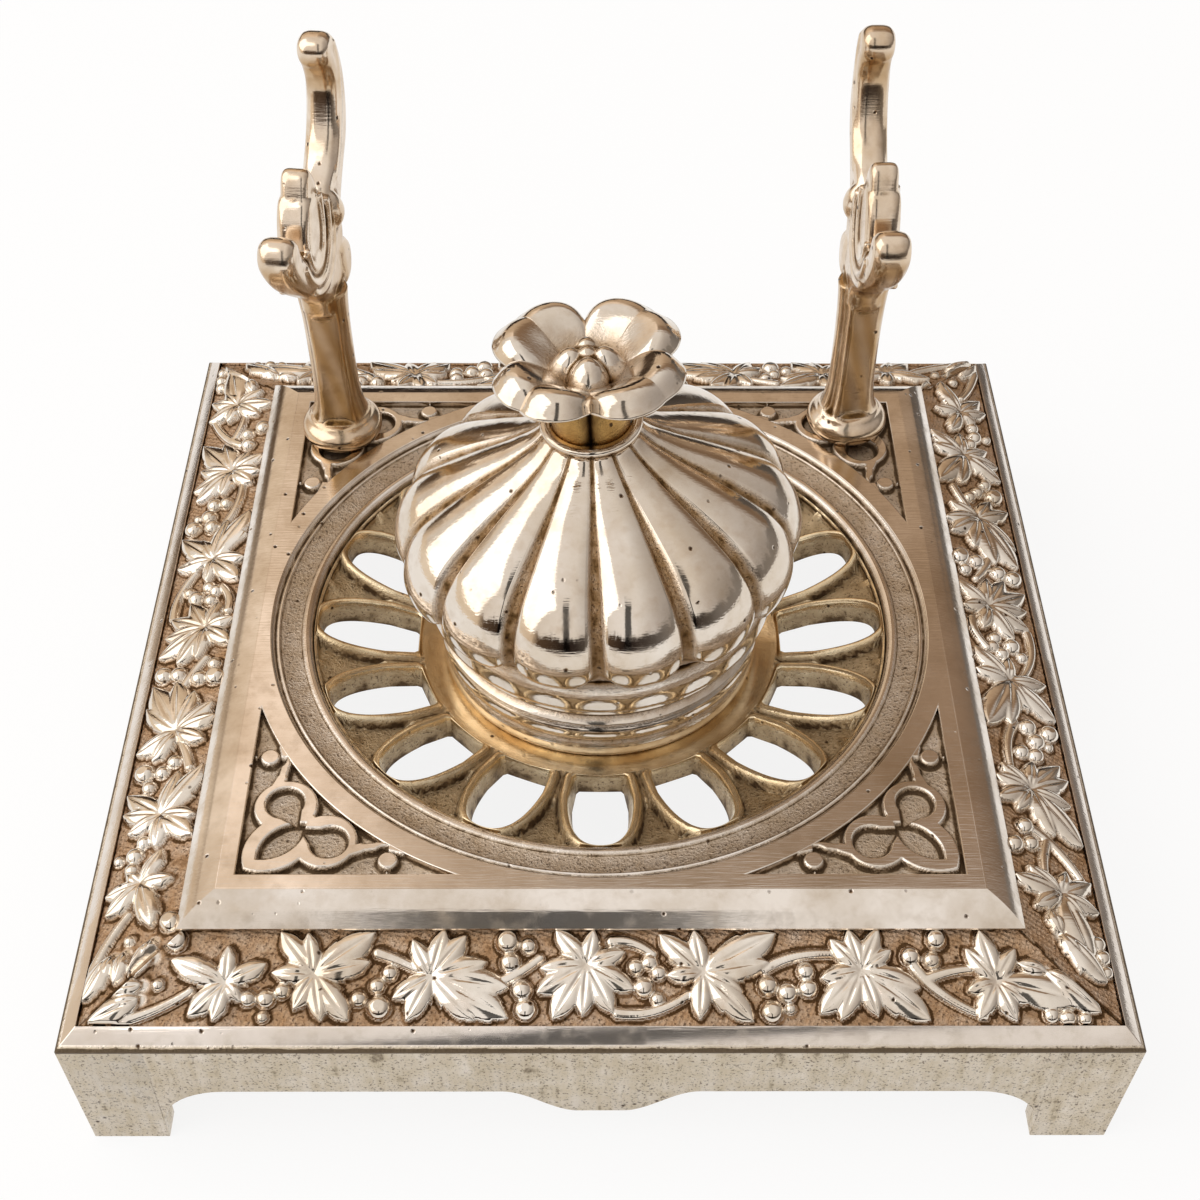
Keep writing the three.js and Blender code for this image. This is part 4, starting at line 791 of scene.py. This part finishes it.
# Faint waviness of blown glass, about 4 mm across, and a film of old ink low down
waves = add("TexNoise", {"Vector": place, "Scale": 240, "Detail": 1})
wavy = add("Bump", {"Height": waves, "Distance": 0.0002, "Strength": 0.4})
film = add("MapRange", (add("SeparateXYZ", (place,), "Z"), 0.032, 0.036, 1, 0))
tint = add("Mix", {0: film, 6: linear("#EEF4F0"), 7: linear("#5B6274")}, 2, data_type="RGBA")
clear = add("BsdfPrincipled", {"Base Color": tint, "Roughness": 0.03, "IOR": 1.5, "Transmission Weight": 1,
                               "Normal": wavy})
add("OutputMaterial", {"Surface": clear})
coat(glass, "ink_liner")


# Lid: a turned band under a cast dome of fourteen lobes, hinged at the back. The grooves between the lobes
# are narrow and keep brown tarnish, and they die out towards the finial.
lobes = 14
band_profile = [(24.9, 39.7), (26.1, 39.7), (26.5, 39.85), (26.9, 40.4), (27.2, 41.2), (27.4, 42.2), (27.4, 43.2),
                (27.25, 44.2), (26.95, 45.1), (26.6, 45.8), (26.3, 46.3), (24.9, 46.3)]
lid_ring = auto_smooth(turned("lid_ring", band_profile, 192, [1, 0.3, 0.1, 0, 0, 0, 0, 0, 0.1, 0.4, 1, 1]), 50)
finished("lid_ring", lid_ring, polished_plate, "lid", "polished", "lid_band")

dome_outline = [(26.0, 46.5), (27.2, 46.6), (28.6, 47.2), (29.6, 48.2), (30.5, 49.6), (31.1, 51.2), (31.4, 53.0),
                (31.3, 54.6), (30.85, 56.5), (30.1, 58.4), (29.0, 60.1), (27.5, 61.8), (25.9, 63.0), (24.0, 64.2),
                (21.8, 65.4), (19.6, 66.5), (17.3, 67.6), (15.1, 68.6), (13.0, 69.6), (11.4, 70.5), (10.0, 71.3),
                (9.0, 72.0), (8.2, 72.7), (7.7, 73.2), (7.4, 73.4)]


def rounded_line(points, times, closed=False):
    """A smoother run of points through the given ones."""
    path = np.array(points)
    before, after = (path[-1:], path[:2]) if closed else (2 * path[:1] - path[1:2], 2 * path[-1:] - path[-2:-1])
    padded = np.vstack([before, path, after])
    out = []
    for i in range(len(padded) - 3):
        a, b, c, d = padded[i:i + 4]
        square, cube = 2 * a - 5 * b + 4 * c - d, 3 * b - a - 3 * c + d
        out += [tuple(0.5 * (2 * b + (c - a) * t + square * t ** 2 + cube * t ** 3)) for t in np.arange(times) / times]
    return out if closed else out + [tuple(path[-1])]


outside = rounded_line(dome_outline, 3)
inside = [(1.7, 73.4), (1.7, 70.8), (4.2, 70.8), (10.4, 68.2), (15.6, 65.6), (21.4, 62.6), (26.0, 59.4), (28.2, 55.6),
          (28.3, 51.4), (24.9, 46.5)]
dome_profile = outside + inside
points_a_lobe = 36
ring_points = lobes * points_a_lobe
smooth_dome = turned("dome", dome_profile, ring_points, [0.0] * len(outside) + [1.0] * len(inside))
outer_share = [min(1.0, row / 5) for row in range(len(outside))] + [0.0] * len(inside)
marked(smooth_dome, "outer", np.repeat(np.array(outer_share, dtype=np.float32), ring_points))

fluting, given, add = grouped("flutes_of_dome", {
    "Lobes": ("Int", 14), **{size: ("Float", 0.0) for size in (
        "Groove Width", "Groove Depth", "Lobe Rise", "Neck Radius", "Rim Radius", "Foot Height")},
    "Metal": ("Material", None)})
foot = given["Foot Height"]
x, y, z = add("SeparateXYZ", (add("GeometryNodeInputPosition"),)).node.outputs
squares = [add("Math", (way, way), operation="MULTIPLY") for way in (x, y)]
radius = add("Math", (add("Math", squares, operation="ADD"),), operation="SQRT")
azimuth = add("Math", (add("Math", (y, x), operation="ARCTAN2"), pi / 2), operation="ADD")
half_lobes = add("Math", (given["Lobes"], 0.5), operation="MULTIPLY")
wave = add("Math", (add("Math", (azimuth, half_lobes), operation="MULTIPLY"),), operation="SINE")
# 0 in the middle of a groove and 1 on a lobe's crown
ramped = add("Math", (add("Math", (wave,), operation="ABSOLUTE"),), operation="ARCSINE")
across = add("Math", (ramped, pi / 2), operation="DIVIDE")
pitch = add("Math", (add("Math", (radius, pi), operation="MULTIPLY"), given["Lobes"]), operation="DIVIDE")
from_groove = add("Math", (across, pitch), operation="MULTIPLY")
out_from_neck = add("MapRange", (radius, given["Neck Radius"], given["Rim Radius"]), interpolation_type="SMOOTHSTEP")
# Grooves are narrow at the neck and flare where they run out over the rim
flare_top = add("Math", (foot, 0.0055), operation="ADD")
flare = add("MapRange", (z, flare_top, foot, 0, 1.1), interpolation_type="SMOOTHSTEP")
widening = add("Math", (out_from_neck, 0.34, 0.16), operation="MULTIPLY_ADD")
half = add("Math", (given["Groove Width"], add("Math", (widening, flare), operation="ADD")), operation="MULTIPLY")
halves_away = add("Math", (from_groove, half), operation="DIVIDE")
in_groove = add("MapRange", (halves_away, 1.5, 0.7), interpolation_type="SMOOTHSTEP")
sides = add("Math", (add("Math", (1, across), operation="SUBTRACT"), 2.2), operation="POWER")
reach = add("Math", (out_from_neck, 0.8, 0.2), operation="MULTIPLY_ADD")
groove_sink = add("Math", (in_groove, given["Groove Depth"]), operation="MULTIPLY")
lobe_sink = add("Math", (sides, given["Lobe Rise"]), operation="MULTIPLY")
sink = add("Math", (add("Math", (groove_sink, lobe_sink), operation="ADD"), reach), operation="MULTIPLY")
is_outside = add("GeometryNodeInputNamedAttribute", ("outer",), data_type="FLOAT")
pull = add("Math", (sink, is_outside), operation="MULTIPLY")
inward = add("VectorMath", {0: add("GeometryNodeInputNormal"), "Scale": add("Math", (pull, -1), operation="MULTIPLY")},
             operation="SCALE")
moved = add("GeometryNodeSetPosition", {"Geometry": given["Geometry"], "Offset": inward})
# Painted shade on the lobes' undersides, in a band just above their foot
shaded_band_top = add("Math", (foot, 0.0016), operation="ADD")
shade_below_lobes = add("MapRange", (z, foot, shaded_band_top, 0.95, 0), interpolation_type="SMOOTHSTEP")
grooved = add("Math", (add("Math", (in_groove, is_outside), operation="MULTIPLY"), 0.84), operation="MULTIPLY")
# Brown tarnish in the grooves, and the painted shade under the lobes
tarnish_and_shade = add("Math", (shade_below_lobes, grooved), operation="MAXIMUM")
kept_in = add("GeometryNodeInputNamedAttribute", ("hollow",), data_type="FLOAT")
sunk = add("Math", (tarnish_and_shade, kept_in), operation="MAXIMUM")
stored = add("GeometryNodeStoreNamedAttribute", {"Geometry": moved, "Name": "hollow", "Value": sunk},
             data_type="FLOAT", domain="POINT")
real = add("GeometryNodeRealizeInstances", (stored,))
coated = add("GeometryNodeSetMaterial", {0: real, "Material": given["Metal"]})
add("NodeGroupOutput", (coated,))
fluted = made_by(fluting, smooth_dome, {"Lobes": lobes, "Groove Width": 0.0018, "Groove Depth": 0.0007,
                                        "Lobe Rise": 0.0015, "Neck Radius": 0.0075, "Rim Radius": 0.029,
                                        "Foot Height": 0.0465, "Metal": polished_plate})


def values_of(rows, key, kind=np.float32, width=3):
    """What a mesh's points or edges hold under a name, a row for each."""
    values = np.empty(len(rows) * width, kind)
    rows.foreach_get(key, values)
    return values.reshape(-1, width)


# The lid was knocked a little to the left: its tilt, the heights in mm where it starts and is full, and its pivot's
lean, lean_start, lean_full, lean_pivot = 0.05, 43.5, 52, 46


def leaned(mesh):
    x, y, z = values_of(mesh.vertices, "co").T * 1000
    angle = lean * smooth_step(lean_start, lean_full, z)
    above = z - lean_pivot
    moved = np.stack([x * np.cos(angle) - above * np.sin(angle), y,
                      lean_pivot + above * np.cos(angle) + x * np.sin(angle)], -1) / 1000
    mesh.vertices.foreach_set("co", moved.astype(np.float32).ravel())
    mesh.update()
    return mesh


finished("lid_lobes", leaned(fluted), polished_plate, "lid", "polished", "lid_dome")
# The hinge at the back: a knuckle on the drum and one on the band, with a steel pin through both
finished("hinge_knuckle_drum", softened("well_hinge", 0.15), polished_plate, "stand", "polished", "well_hinge")
finished("hinge_knuckle_lid", softened("lid_hinge", 0.15), polished_plate, "lid", "polished", "lid_hinge")
coat(screw_steel, "hinge_pin")


# Finial: a brass stem of four rounded facets in a polished collar, under a flower of four broad petals.
# A long screw through the bud draws all of it down on the dome.
def shares_round(start, rows, columns):
    """A grid of shares from start to 1, and of ways round."""
    return np.meshgrid(np.linspace(start, 1, rows), np.arange(columns) / columns * 2 * pi, indexing="ij")


def upright_bar(name, radius, up, around, low, high, hollow=None):
    """A closed bar that stands from low to high, with its radius at each height and way round."""
    rows, columns = up.shape
    points = np.stack([radius * np.cos(around), radius * np.sin(around), low + (high - low) * up], -1)
    faces = grid_faces(rows, columns, closed=True).tolist()
    faces += [list(range(columns))[::-1], [(rows - 1) * columns + i for i in range(columns)]]
    return mesh_of(name, points.reshape(-1, 3), faces, hollow)


collar_profile = rounded_line([(6.0, 73.6), (7.1, 73.6), (7.5, 73.9), (7.6, 74.3), (7.4, 74.7), (6.8, 74.9),
                               (6.0, 74.8)], 3)
collar_ring = turned("collar_ring", collar_profile, 96, [0.0] * len(collar_profile))
finished("finial_collar", leaned(collar_ring), polished_plate, "lid", "polished", "stem_collar")

stem_foot, stem_top, stem_radius = 73.65, 79.9, 5.9
up, around = shares_round(0, 24, 160)
# The first groove looks to the front
facet = np.abs(np.sin(2 * (around + pi / 2)))
swell = 1 - 0.1 * up + 0.05 * np.sin(pi * up)
radius = stem_radius * swell * (1 - 0.2 * (1 - facet) ** 5)
stem_sunk = np.clip(1.1 * (1 - facet) ** 5 + 0.2, 0, 1)
stem_brass = plated_silver("polished_brass_stem", "#CFA768", "#9C743E", "#3E2B18", 0.13, 0.08)
stem_mesh = auto_smooth(upright_bar("stem", radius, up, around, stem_foot, stem_top, stem_sunk), 60)
finished("finial_column", leaned(stem_mesh), stem_brass, "lid", "stem_brass", "finial_stem")

# Petals: the place of each on the compass, half of its spread in degrees, and how deep its fold is
petals = [(46, 44, 0.25), (138, 43, 0.4), (228, 44, 1.3), (320, 45, 0.3)]
petal_reach, petal_rise, petal_thick, flower_foot = 14.2, 5.6, 1.3, 80.0
rings_out, steps_round = 44, 360
share, around = shares_round(0.06, rings_out, steps_round)
edge = np.full(around.shape, 0.4)
crease = np.zeros(around.shape)
pillow = np.zeros(around.shape)
for place, spread, depth in petals:
    away = (np.degrees(around) - place + 540) % 360 - 180
    inside = np.abs(away) < spread
    flank = np.clip(np.abs(away) / spread, 0, 1)
    body = 0.4 + 0.6 * (1 - flank ** 3.2) ** 0.5 - 0.035 * (0.5 + depth) * np.exp(-(away / 7) ** 2)
    edge = np.where(inside, np.maximum(edge, body), edge)
    crease = np.where(inside, depth * np.exp(-np.abs(away / 4) ** 1.5), crease)
    cup = 1.1 * (1.3 - depth) * (flank ** 2 - 0.4)
    pillow = np.where(inside, 0.55 * depth * np.sin(pi * flank) + cup * np.sin(pi * share) ** 0.7, pillow)
out = share * edge
lift = petal_rise * smooth_step(0.12, 0.85, out) + pillow * share
roll = -2.9 * smooth_step(0.8, 1.06, share) * edge
height = flower_foot + 1.4 + lift * (0.55 + 0.45 * edge) + roll - 0.7 * crease * np.sin(pi * share ** 0.8) * share
upper = np.stack([petal_reach * out * np.cos(around), petal_reach * out * np.sin(around), height], -1).reshape(-1, 3)
petal_faces = grid_faces(rings_out, steps_round, closed=True).tolist() + [list(range(steps_round))[::-1]]
petal_sunk = np.clip(0.7 * crease * smooth_step(0.1, 0.4, share) * (1 - smooth_step(0.7, 0.9, share))
                     + 0.9 * (1 - smooth_step(0.3, 0.62, out)), 0, 1)
flower = new_object("holder", mesh_of("petals", upper, petal_faces, petal_sunk))
wall = flower.modifiers.new("wall", "SOLIDIFY")
wall.thickness = petal_thick / 1000
wall.offset = -1
flower_mesh = leaned(smoothed(made_plain(flower)))
finished("finial_flower", flower_mesh, polished_plate, "lid", "polished", "finial_petals")


def knob(middle, size, tilt=(0, 0)):
    """A pointed seed, size gives its radii across and its height."""
    work = bmesh.new()
    bmesh.ops.create_icosphere(work, subdivisions=3, radius=1)
    for vert in work.verts:
        taper = 1 - 0.15 * max(vert.co.z, 0)
        vert.co = Vector((vert.co.x * taper, vert.co.y * taper, vert.co.z))
    sized = Matrix.Diagonal((size[0] / 1000, size[0] / 1000, size[1] / 1000, 1))
    work.transform(Matrix.Translation(Vector(middle) / 1000) @ Matrix.Rotation(tilt[0], 4, "X")
                   @ Matrix.Rotation(tilt[1], 4, "Y") @ sized)
    mesh = bpy.data.meshes.new("knob")
    work.to_mesh(mesh)
    work.free()
    return mesh


def cast_in_one(name, meshes, voxel, smoothing):
    """Overlapping forms cast as one piece: remeshed to a skin of one thickness and eased."""
    holder = new_object("holder", joined(name, meshes, merge=False))
    skin = holder.modifiers.new("skin", "REMESH")
    skin.mode = "VOXEL"
    skin.voxel_size = voxel / 1000
    ease = holder.modifiers.new("ease", "SMOOTH")
    ease.factor, ease.iterations = 0.5, smoothing
    return smoothed(made_plain(holder))


def creased(mesh):
    """Gives a remeshed casting its tarnish: the more a spot lies in a hollow, the browner."""
    spots, normals = values_of(mesh.vertices, "co") * 1000, values_of(mesh.vertices, "normal")
    first, second = values_of(mesh.edges, "vertices", np.int32, 2).T
    from_ends, to_ends = np.concatenate([first, second]), np.concatenate([second, first])
    neighbours = np.bincount(from_ends, minlength=len(spots))

    def averaged(values):
        return np.bincount(from_ends, values[to_ends], minlength=len(spots)) / neighbours

    middle = np.stack([averaged(spots[:, axis]) for axis in range(3)], -1)
    depth = ((middle - spots) * normals).sum(-1)
    for step in range(6):
        depth = averaged(depth)
    return marked(mesh, "hollow", 0.95 * smooth_step(0.001, 0.009, depth))


bud_parts = [knob((0, 0.4, 84.4), (2.3, 3.3))]
for turn, size in ((-88, 3.0), (2, 2.6), (92, 2.5), (178, 2.6)):
    a = radians(turn)
    bud_parts.append(knob((3.0 * cos(a), 3.0 * sin(a), 84.1), (size, 3.7), (0.3 * sin(a), -0.3 * cos(a))))
screw = turned("finial_screw", [(0.2, 67.8), (1.5, 67.8), (1.5, 83), (0.2, 83)], 32)
bud = creased(cast_in_one("bud", bud_parts + [screw], 0.2, 3))
finished("finial_seed_head", leaned(bud), polished_plate, "lid", "polished", "finial_bud")
coat(fitting_brass, "finial_nut")


# Pen rests: a pair of cast scroll brackets, screwed down through the panel at its rear corners. Each has a
# flat-fronted stem on a bun foot, a hook in front with a leaf standing in it, and a tall curved arm behind.
hook_side = [(-3.0, 27), (3.2, 27), (4.4, 31.4), (7.6, 34.2), (11.6, 37.6), (15.4, 41.2), (18.4, 45.2), (19.6, 48.4),
             (18.6, 51.0), (16.6, 51.9), (14.4, 50.8), (13.2, 47.6), (11.4, 45.4), (8.0, 44.2), (3.0, 44.0),
             (-3.5, 44.0), (-7.6, 40.5), (-7.0, 36.0), (-5.0, 32.0)]
leaf_side = [(3.0, 38.0), (8.6, 39.6), (10.8, 42.4), (10.4, 45.6), (8.6, 50.0), (6.4, 52.4), (3.0, 52.2), (0.6, 49.6),
             (-3.6, 46.4), (-5.0, 42.0)]
leaf_tip_side = [(0.8, 48.0), (6.4, 50.8), (5.8, 54.0), (4.2, 55.8), (2.4, 55.4), (0.8, 52.4)]
arm_side = [(-4.0, 41.0), (-2.2, 45.6), (-3.8, 48.2), (-7.2, 49.8), (-10.4, 52.6), (-12.4, 56.4), (-13.6, 60.2),
            (-13.0, 63.2), (-11.8, 65.2), (-11.6, 67.2), (-12.8, 68.8), (-15.2, 69.1), (-17.3, 67.6), (-18.9, 64.2),
            (-19.6, 59.6), (-18.8, 54.0), (-16.6, 49.6), (-13.4, 46.4), (-9.8, 42.4), (-8.0, 39.0)]
volute_side = [(-2.2, 37.0), (-6.4, 37.2), (-9.0, 35.0), (-9.2, 31.8), (-7.6, 29.0), (-4.8, 28.2), (-2.6, 29.6)]

# Side views are drawn forward and up; this stands them upright, forward to the front
side_to_upright = Matrix(((0, 0, 1, 0), (-1, 0, 0, 0), (0, 1, 0, 0), (0, 0, 0, 1)))


def side_slab(points, width, rounding):
    mesh = flat_plate("slab", [rounded_line(points, 5, closed=True)], -width / 2, width / 2, rounding)
    mesh.transform(side_to_upright)
    return mesh


def bead(points, radius, offset):
    """A raised ridge on the side of the hook, along an open line."""
    curve = bpy.data.curves.new("bead", "CURVE")
    curve.dimensions = "3D"
    curve.bevel_depth = radius / 1000
    curve.bevel_resolution = 3
    curve.use_fill_caps = True
    spline = curve.splines.new("NURBS")
    spline.points.add(len(points) - 1)
    for point, (x, y) in zip(spline.points, points):
        point.co = (x / 1000, y / 1000, offset / 1000, 1)
    spline.order_u = 4
    spline.use_endpoint_u = True
    mesh = made_plain(new_object("bead", curve))
    mesh.transform(side_to_upright)
    return mesh


def flat_fronted_stem():
    """Stem with one wide flat face in front, a hollow down its left side, and a foot that flares into the bun."""
    up, around = shares_round(0, 40, 96)
    flare = 1 + 0.5 * np.exp(-up * 10) + 0.14 * np.exp(-(1 - up) * 7)
    flat = 3.0 / np.maximum(np.cos(around - radians(278)), 0.2)
    hollow_side = 1 - 0.13 * np.exp(-((np.degrees(around) - 218) / 12) ** 2)
    return upright_bar("stem", np.minimum(3.85, flat) * hollow_side * flare, up, around, 3, 31)


def pen_rest_casting():
    parts = [side_slab(hook_side, 6.1, 1.9), side_slab(leaf_side, 5.6, 1.4), side_slab(leaf_tip_side, 4.6, 1.1),
             side_slab(arm_side, 5.4, 1.7), side_slab(volute_side, 7.0, 2.2), flat_fronted_stem()]
    # Ridges run down beside the leaf, under it and up again on the hook
    ridges = ([(2.2, 51.0), (2.0, 45.6), (4.4, 40.8), (8.4, 40.4), (10.8, 43.0), (11.4, 46.6)],
              [(-0.2, 48.6), (-0.2, 43.0), (3.2, 38.2), (8.6, 37.8), (12.6, 41.2), (14.0, 45.0)],
              [(-2.6, 45.0), (-2.6, 40.0), (1.6, 35.4), (6.4, 34.8), (11.0, 38.2)])
    for way in (-1, 1):
        for ridge, radius, offset in zip(ridges, (0.62, 0.7, 0.75), (2.75, 2.9, 2.6)):
            parts.append(bead(ridge, radius, way * offset))
        parts.append(bead([(-7.6, 47.6), (-12.8, 52.2), (-16.0, 58.4), (-16.8, 64.0), (-15.4, 67.4)], 0.9, way * 2.1))
        parts.append(knob((way * 1.9, 4.2, 43.6), (2.5, 3.6)))
    bun = [(0.3, -0.3), (5.4, -0.3), (6.7, 0.5), (7.0, 1.7), (6.6, 2.8), (5.6, 3.7), (4.9, 4.4), (0.3, 5.0)]
    parts.append(turned("bun", rounded_line(bun, 4), 64))
    return creased(cast_in_one("pen_rest", parts, 0.28, 4))


def brass_wear_and_lit_side(mesh):
    """Where brass shows through the plate: sunk spots, downward faces, the stem, the front of the arm near its top
    and the bun. On the stem, faces turned to the left keep more silver, a painted highlight of the lit side.
    """
    x, _, z = values_of(mesh.vertices, "co").T * 1000
    nx, ny, nz = values_of(mesh.vertices, "normal").T
    hollow = values_of(mesh.attributes["hollow"].data, "value", width=1)[:, 0]
    under = 0.8 * smooth_step(0.2, -0.5, nz) * smooth_step(6, 10, z)
    on_stem = smooth_step(3.5, 6, z) * smooth_step(38, 32, z)
    # Faces of the stem turned to the left get less brass: a painted highlight on the side the lamp lights
    stem_brass_and_lit_side = on_stem * (0.66 - 0.5 * smooth_step(-0.35, -0.75, nx) + 0.15 * np.sin(0.5 * z + 2 * x))
    arm_top = 0.6 * smooth_step(57, 61, z) * smooth_step(66.5, 64.5, z) * smooth_step(-0.2, -0.6, ny)
    on_bun = 0.5 * smooth_step(3.5, 1.5, z)
    brassy = np.maximum.reduce([hollow * 0.8, under, stem_brass_and_lit_side, arm_top, on_bun])
    return marked(mesh, "brassy", np.clip(brassy, 0, 1))


rest_plate = plated_silver("plated_brass_pen_rest", "#EADBC9", "#CBAF8C", "#8F6A3A", 0.13, 0.16)
casting = brass_wear_and_lit_side(pen_rest_casting())
for side, x, y, turn, lean_out in (("left", -45.3, 44.1, -9, -1.5), ("right", 44.0, 46.1, 1.5, 0.3)):
    one = casting.copy()
    one.transform(Matrix.Translation((x / 1000, y / 1000, 0.0347)) @ Matrix.Rotation(radians(lean_out), 4, "Y")
                  @ Matrix.Rotation(radians(turn), 4, "Z"))
    finished(f"pen_rest_scroll_{side}", one, rest_plate, "stand", "pen_rest", f"pen_rest_{side}")
coat(fitting_brass, *(f"pen_rest_{part}_{side}" for part in ("washer", "nut") for side in ("left", "right")))


# Floor and light: a plain white table top, one wide soft lamp above the left front, and a pale room.
floor_mesh = bpy.data.meshes.new("floor")
floor_mesh.from_pydata([(-3, -0.42, 0), (3, -0.42, 0), (3, 3, 0), (-3, 3, 0)], [], [(0, 1, 2, 3)])
floor = new_object("floor", floor_mesh)
floor_paint = bpy.data.materials.new("white_floor_paint")
floor_mesh.materials.append(floor_paint)
add = adder_for(floor_paint)
ray = add("LightPath").node.outputs
mirrored = add("Math", (ray["Is Glossy Ray"], ray["Is Transmission Ray"]), operation="MAXIMUM")
seen = add("Math", (ray["Is Camera Ray"], mirrored), operation="MAXIMUM")
thrown = add("BsdfDiffuse", {"Color": linear("#E8E8E8")})
matt = add("BsdfDiffuse", {"Color": linear("#6C6C6C")})
glow = add("Emission", {"Color": linear("#FFFFFF"), "Strength": 0.86})
add("OutputMaterial", {"Surface": add("MixShader", (seen, thrown, add("AddShader", (matt, glow))))})

lamp = bpy.data.lights.new("lamp_above", "AREA")
lamp.shape = "RECTANGLE"
lamp.size, lamp.size_y = 1.5, 1.5
lamp.energy = 8
lamp_above = new_object("lamp_above", lamp)
lamp_above.location = (-1.1, -0.2, 0.95)
lamp_above.rotation_euler = (Vector((0, 0, 0.03)) - lamp_above.location).to_track_quat("-Z", "Y").to_euler()

# The room that the metal mirrors: a pale ceiling, brighter on the left, dark walls low down, and a dark patch
# high over the front.
world = bpy.data.worlds.new("studio")
bpy.context.scene.world = world
add = adder_for(world)
direction = add("TexCoord", output="Generated")
toward = add("SeparateXYZ", (direction,)).node.outputs
across = add("Math", (toward["X"], 0.5, 0.5), operation="MULTIPLY_ADD")
walls = add("ValToRGB", (across,), stops=[(0.0, "#E9DBC8"), (0.1, "#DCC9B2"), (0.17, "#5A4838"), (0.42, "#2C231E"),
                                          (0.6, "#332B27"), (0.8, "#5B5550"), (1.0, "#8B8580")])
ceiling = add("ValToRGB", (across,), stops=[(0.0, "#DED6CD"), (0.35, "#EEEAE7"), (0.6, "#E8E4E0"), (0.8, "#C6C0BB"),
                                            (1.0, "#9C9590")])
# Behind, the ceiling is bright on the left and falls away to brown on the right and lower down
high_behind = add("ValToRGB", (across,), stops=[(0.0, "#D8C6B0"), (0.36, "#F2DFCA"), (0.42, "#FFEAD6"),
                                                (0.465, "#BFA992"), (0.5, "#9C8873"), (0.63, "#8E745D"),
                                                (1.0, "#6E5E50")])
low_behind = add("ValToRGB", (across,), stops=[(0.0, "#DCC8B0"), (0.3, "#D2BCA2"), (0.43, "#CBB49A"),
                                               (0.57, "#B59C82"), (1.0, "#6E6158")])
drop_off = add("MapRange", (toward["Y"], 0.67, 0.75), interpolation_type="SMOOTHSTEP")
behind = add("Mix", {0: drop_off, 6: high_behind, 7: low_behind}, 2, data_type="RGBA")
turn_back = add("MapRange", (toward["Y"], 0.42, 0.6), interpolation_type="SMOOTHSTEP")
above = add("Mix", {0: turn_back, 6: ceiling, 7: behind}, 2, data_type="RGBA")
# Dark shapes stand up raggedly along the foot of the walls
along_wall = add("Mapping", {"Vector": direction, "Scale": (7, 7, 1.5)})
shapes = add("TexNoise", {"Vector": along_wall, "Scale": 1, "Detail": 2})
raised = add("Math", (shapes, -0.6, toward["Z"]), operation="MULTIPLY_ADD")
height = add("MapRange", (raised, -0.09, -0.01), interpolation_type="SMOOTHSTEP")
room = add("Mix", {0: height, 6: walls, 7: above}, 2, data_type="RGBA")
sideways = add("Math", (add("Math", (toward["X"], 0.026), operation="ADD"),), operation="ABSOLUTE")
middle = add("MapRange", (sideways, 0.1, 0.08), interpolation_type="SMOOTHSTEP")
high_up = add("MapRange", (toward["Z"], 0.91, 0.87), interpolation_type="SMOOTHSTEP")
in_front = add("MapRange", (toward["Y"], -0.1, -0.2), interpolation_type="SMOOTHSTEP")
overhead = add("Math", (high_up, in_front), operation="MULTIPLY")
patch = add("Math", (middle, overhead), operation="MULTIPLY")
level = add("Math", (patch, -0.99, 1.12), operation="MULTIPLY_ADD")
add("OutputWorld", {"Surface": add("Background", {"Color": room, "Strength": level})})
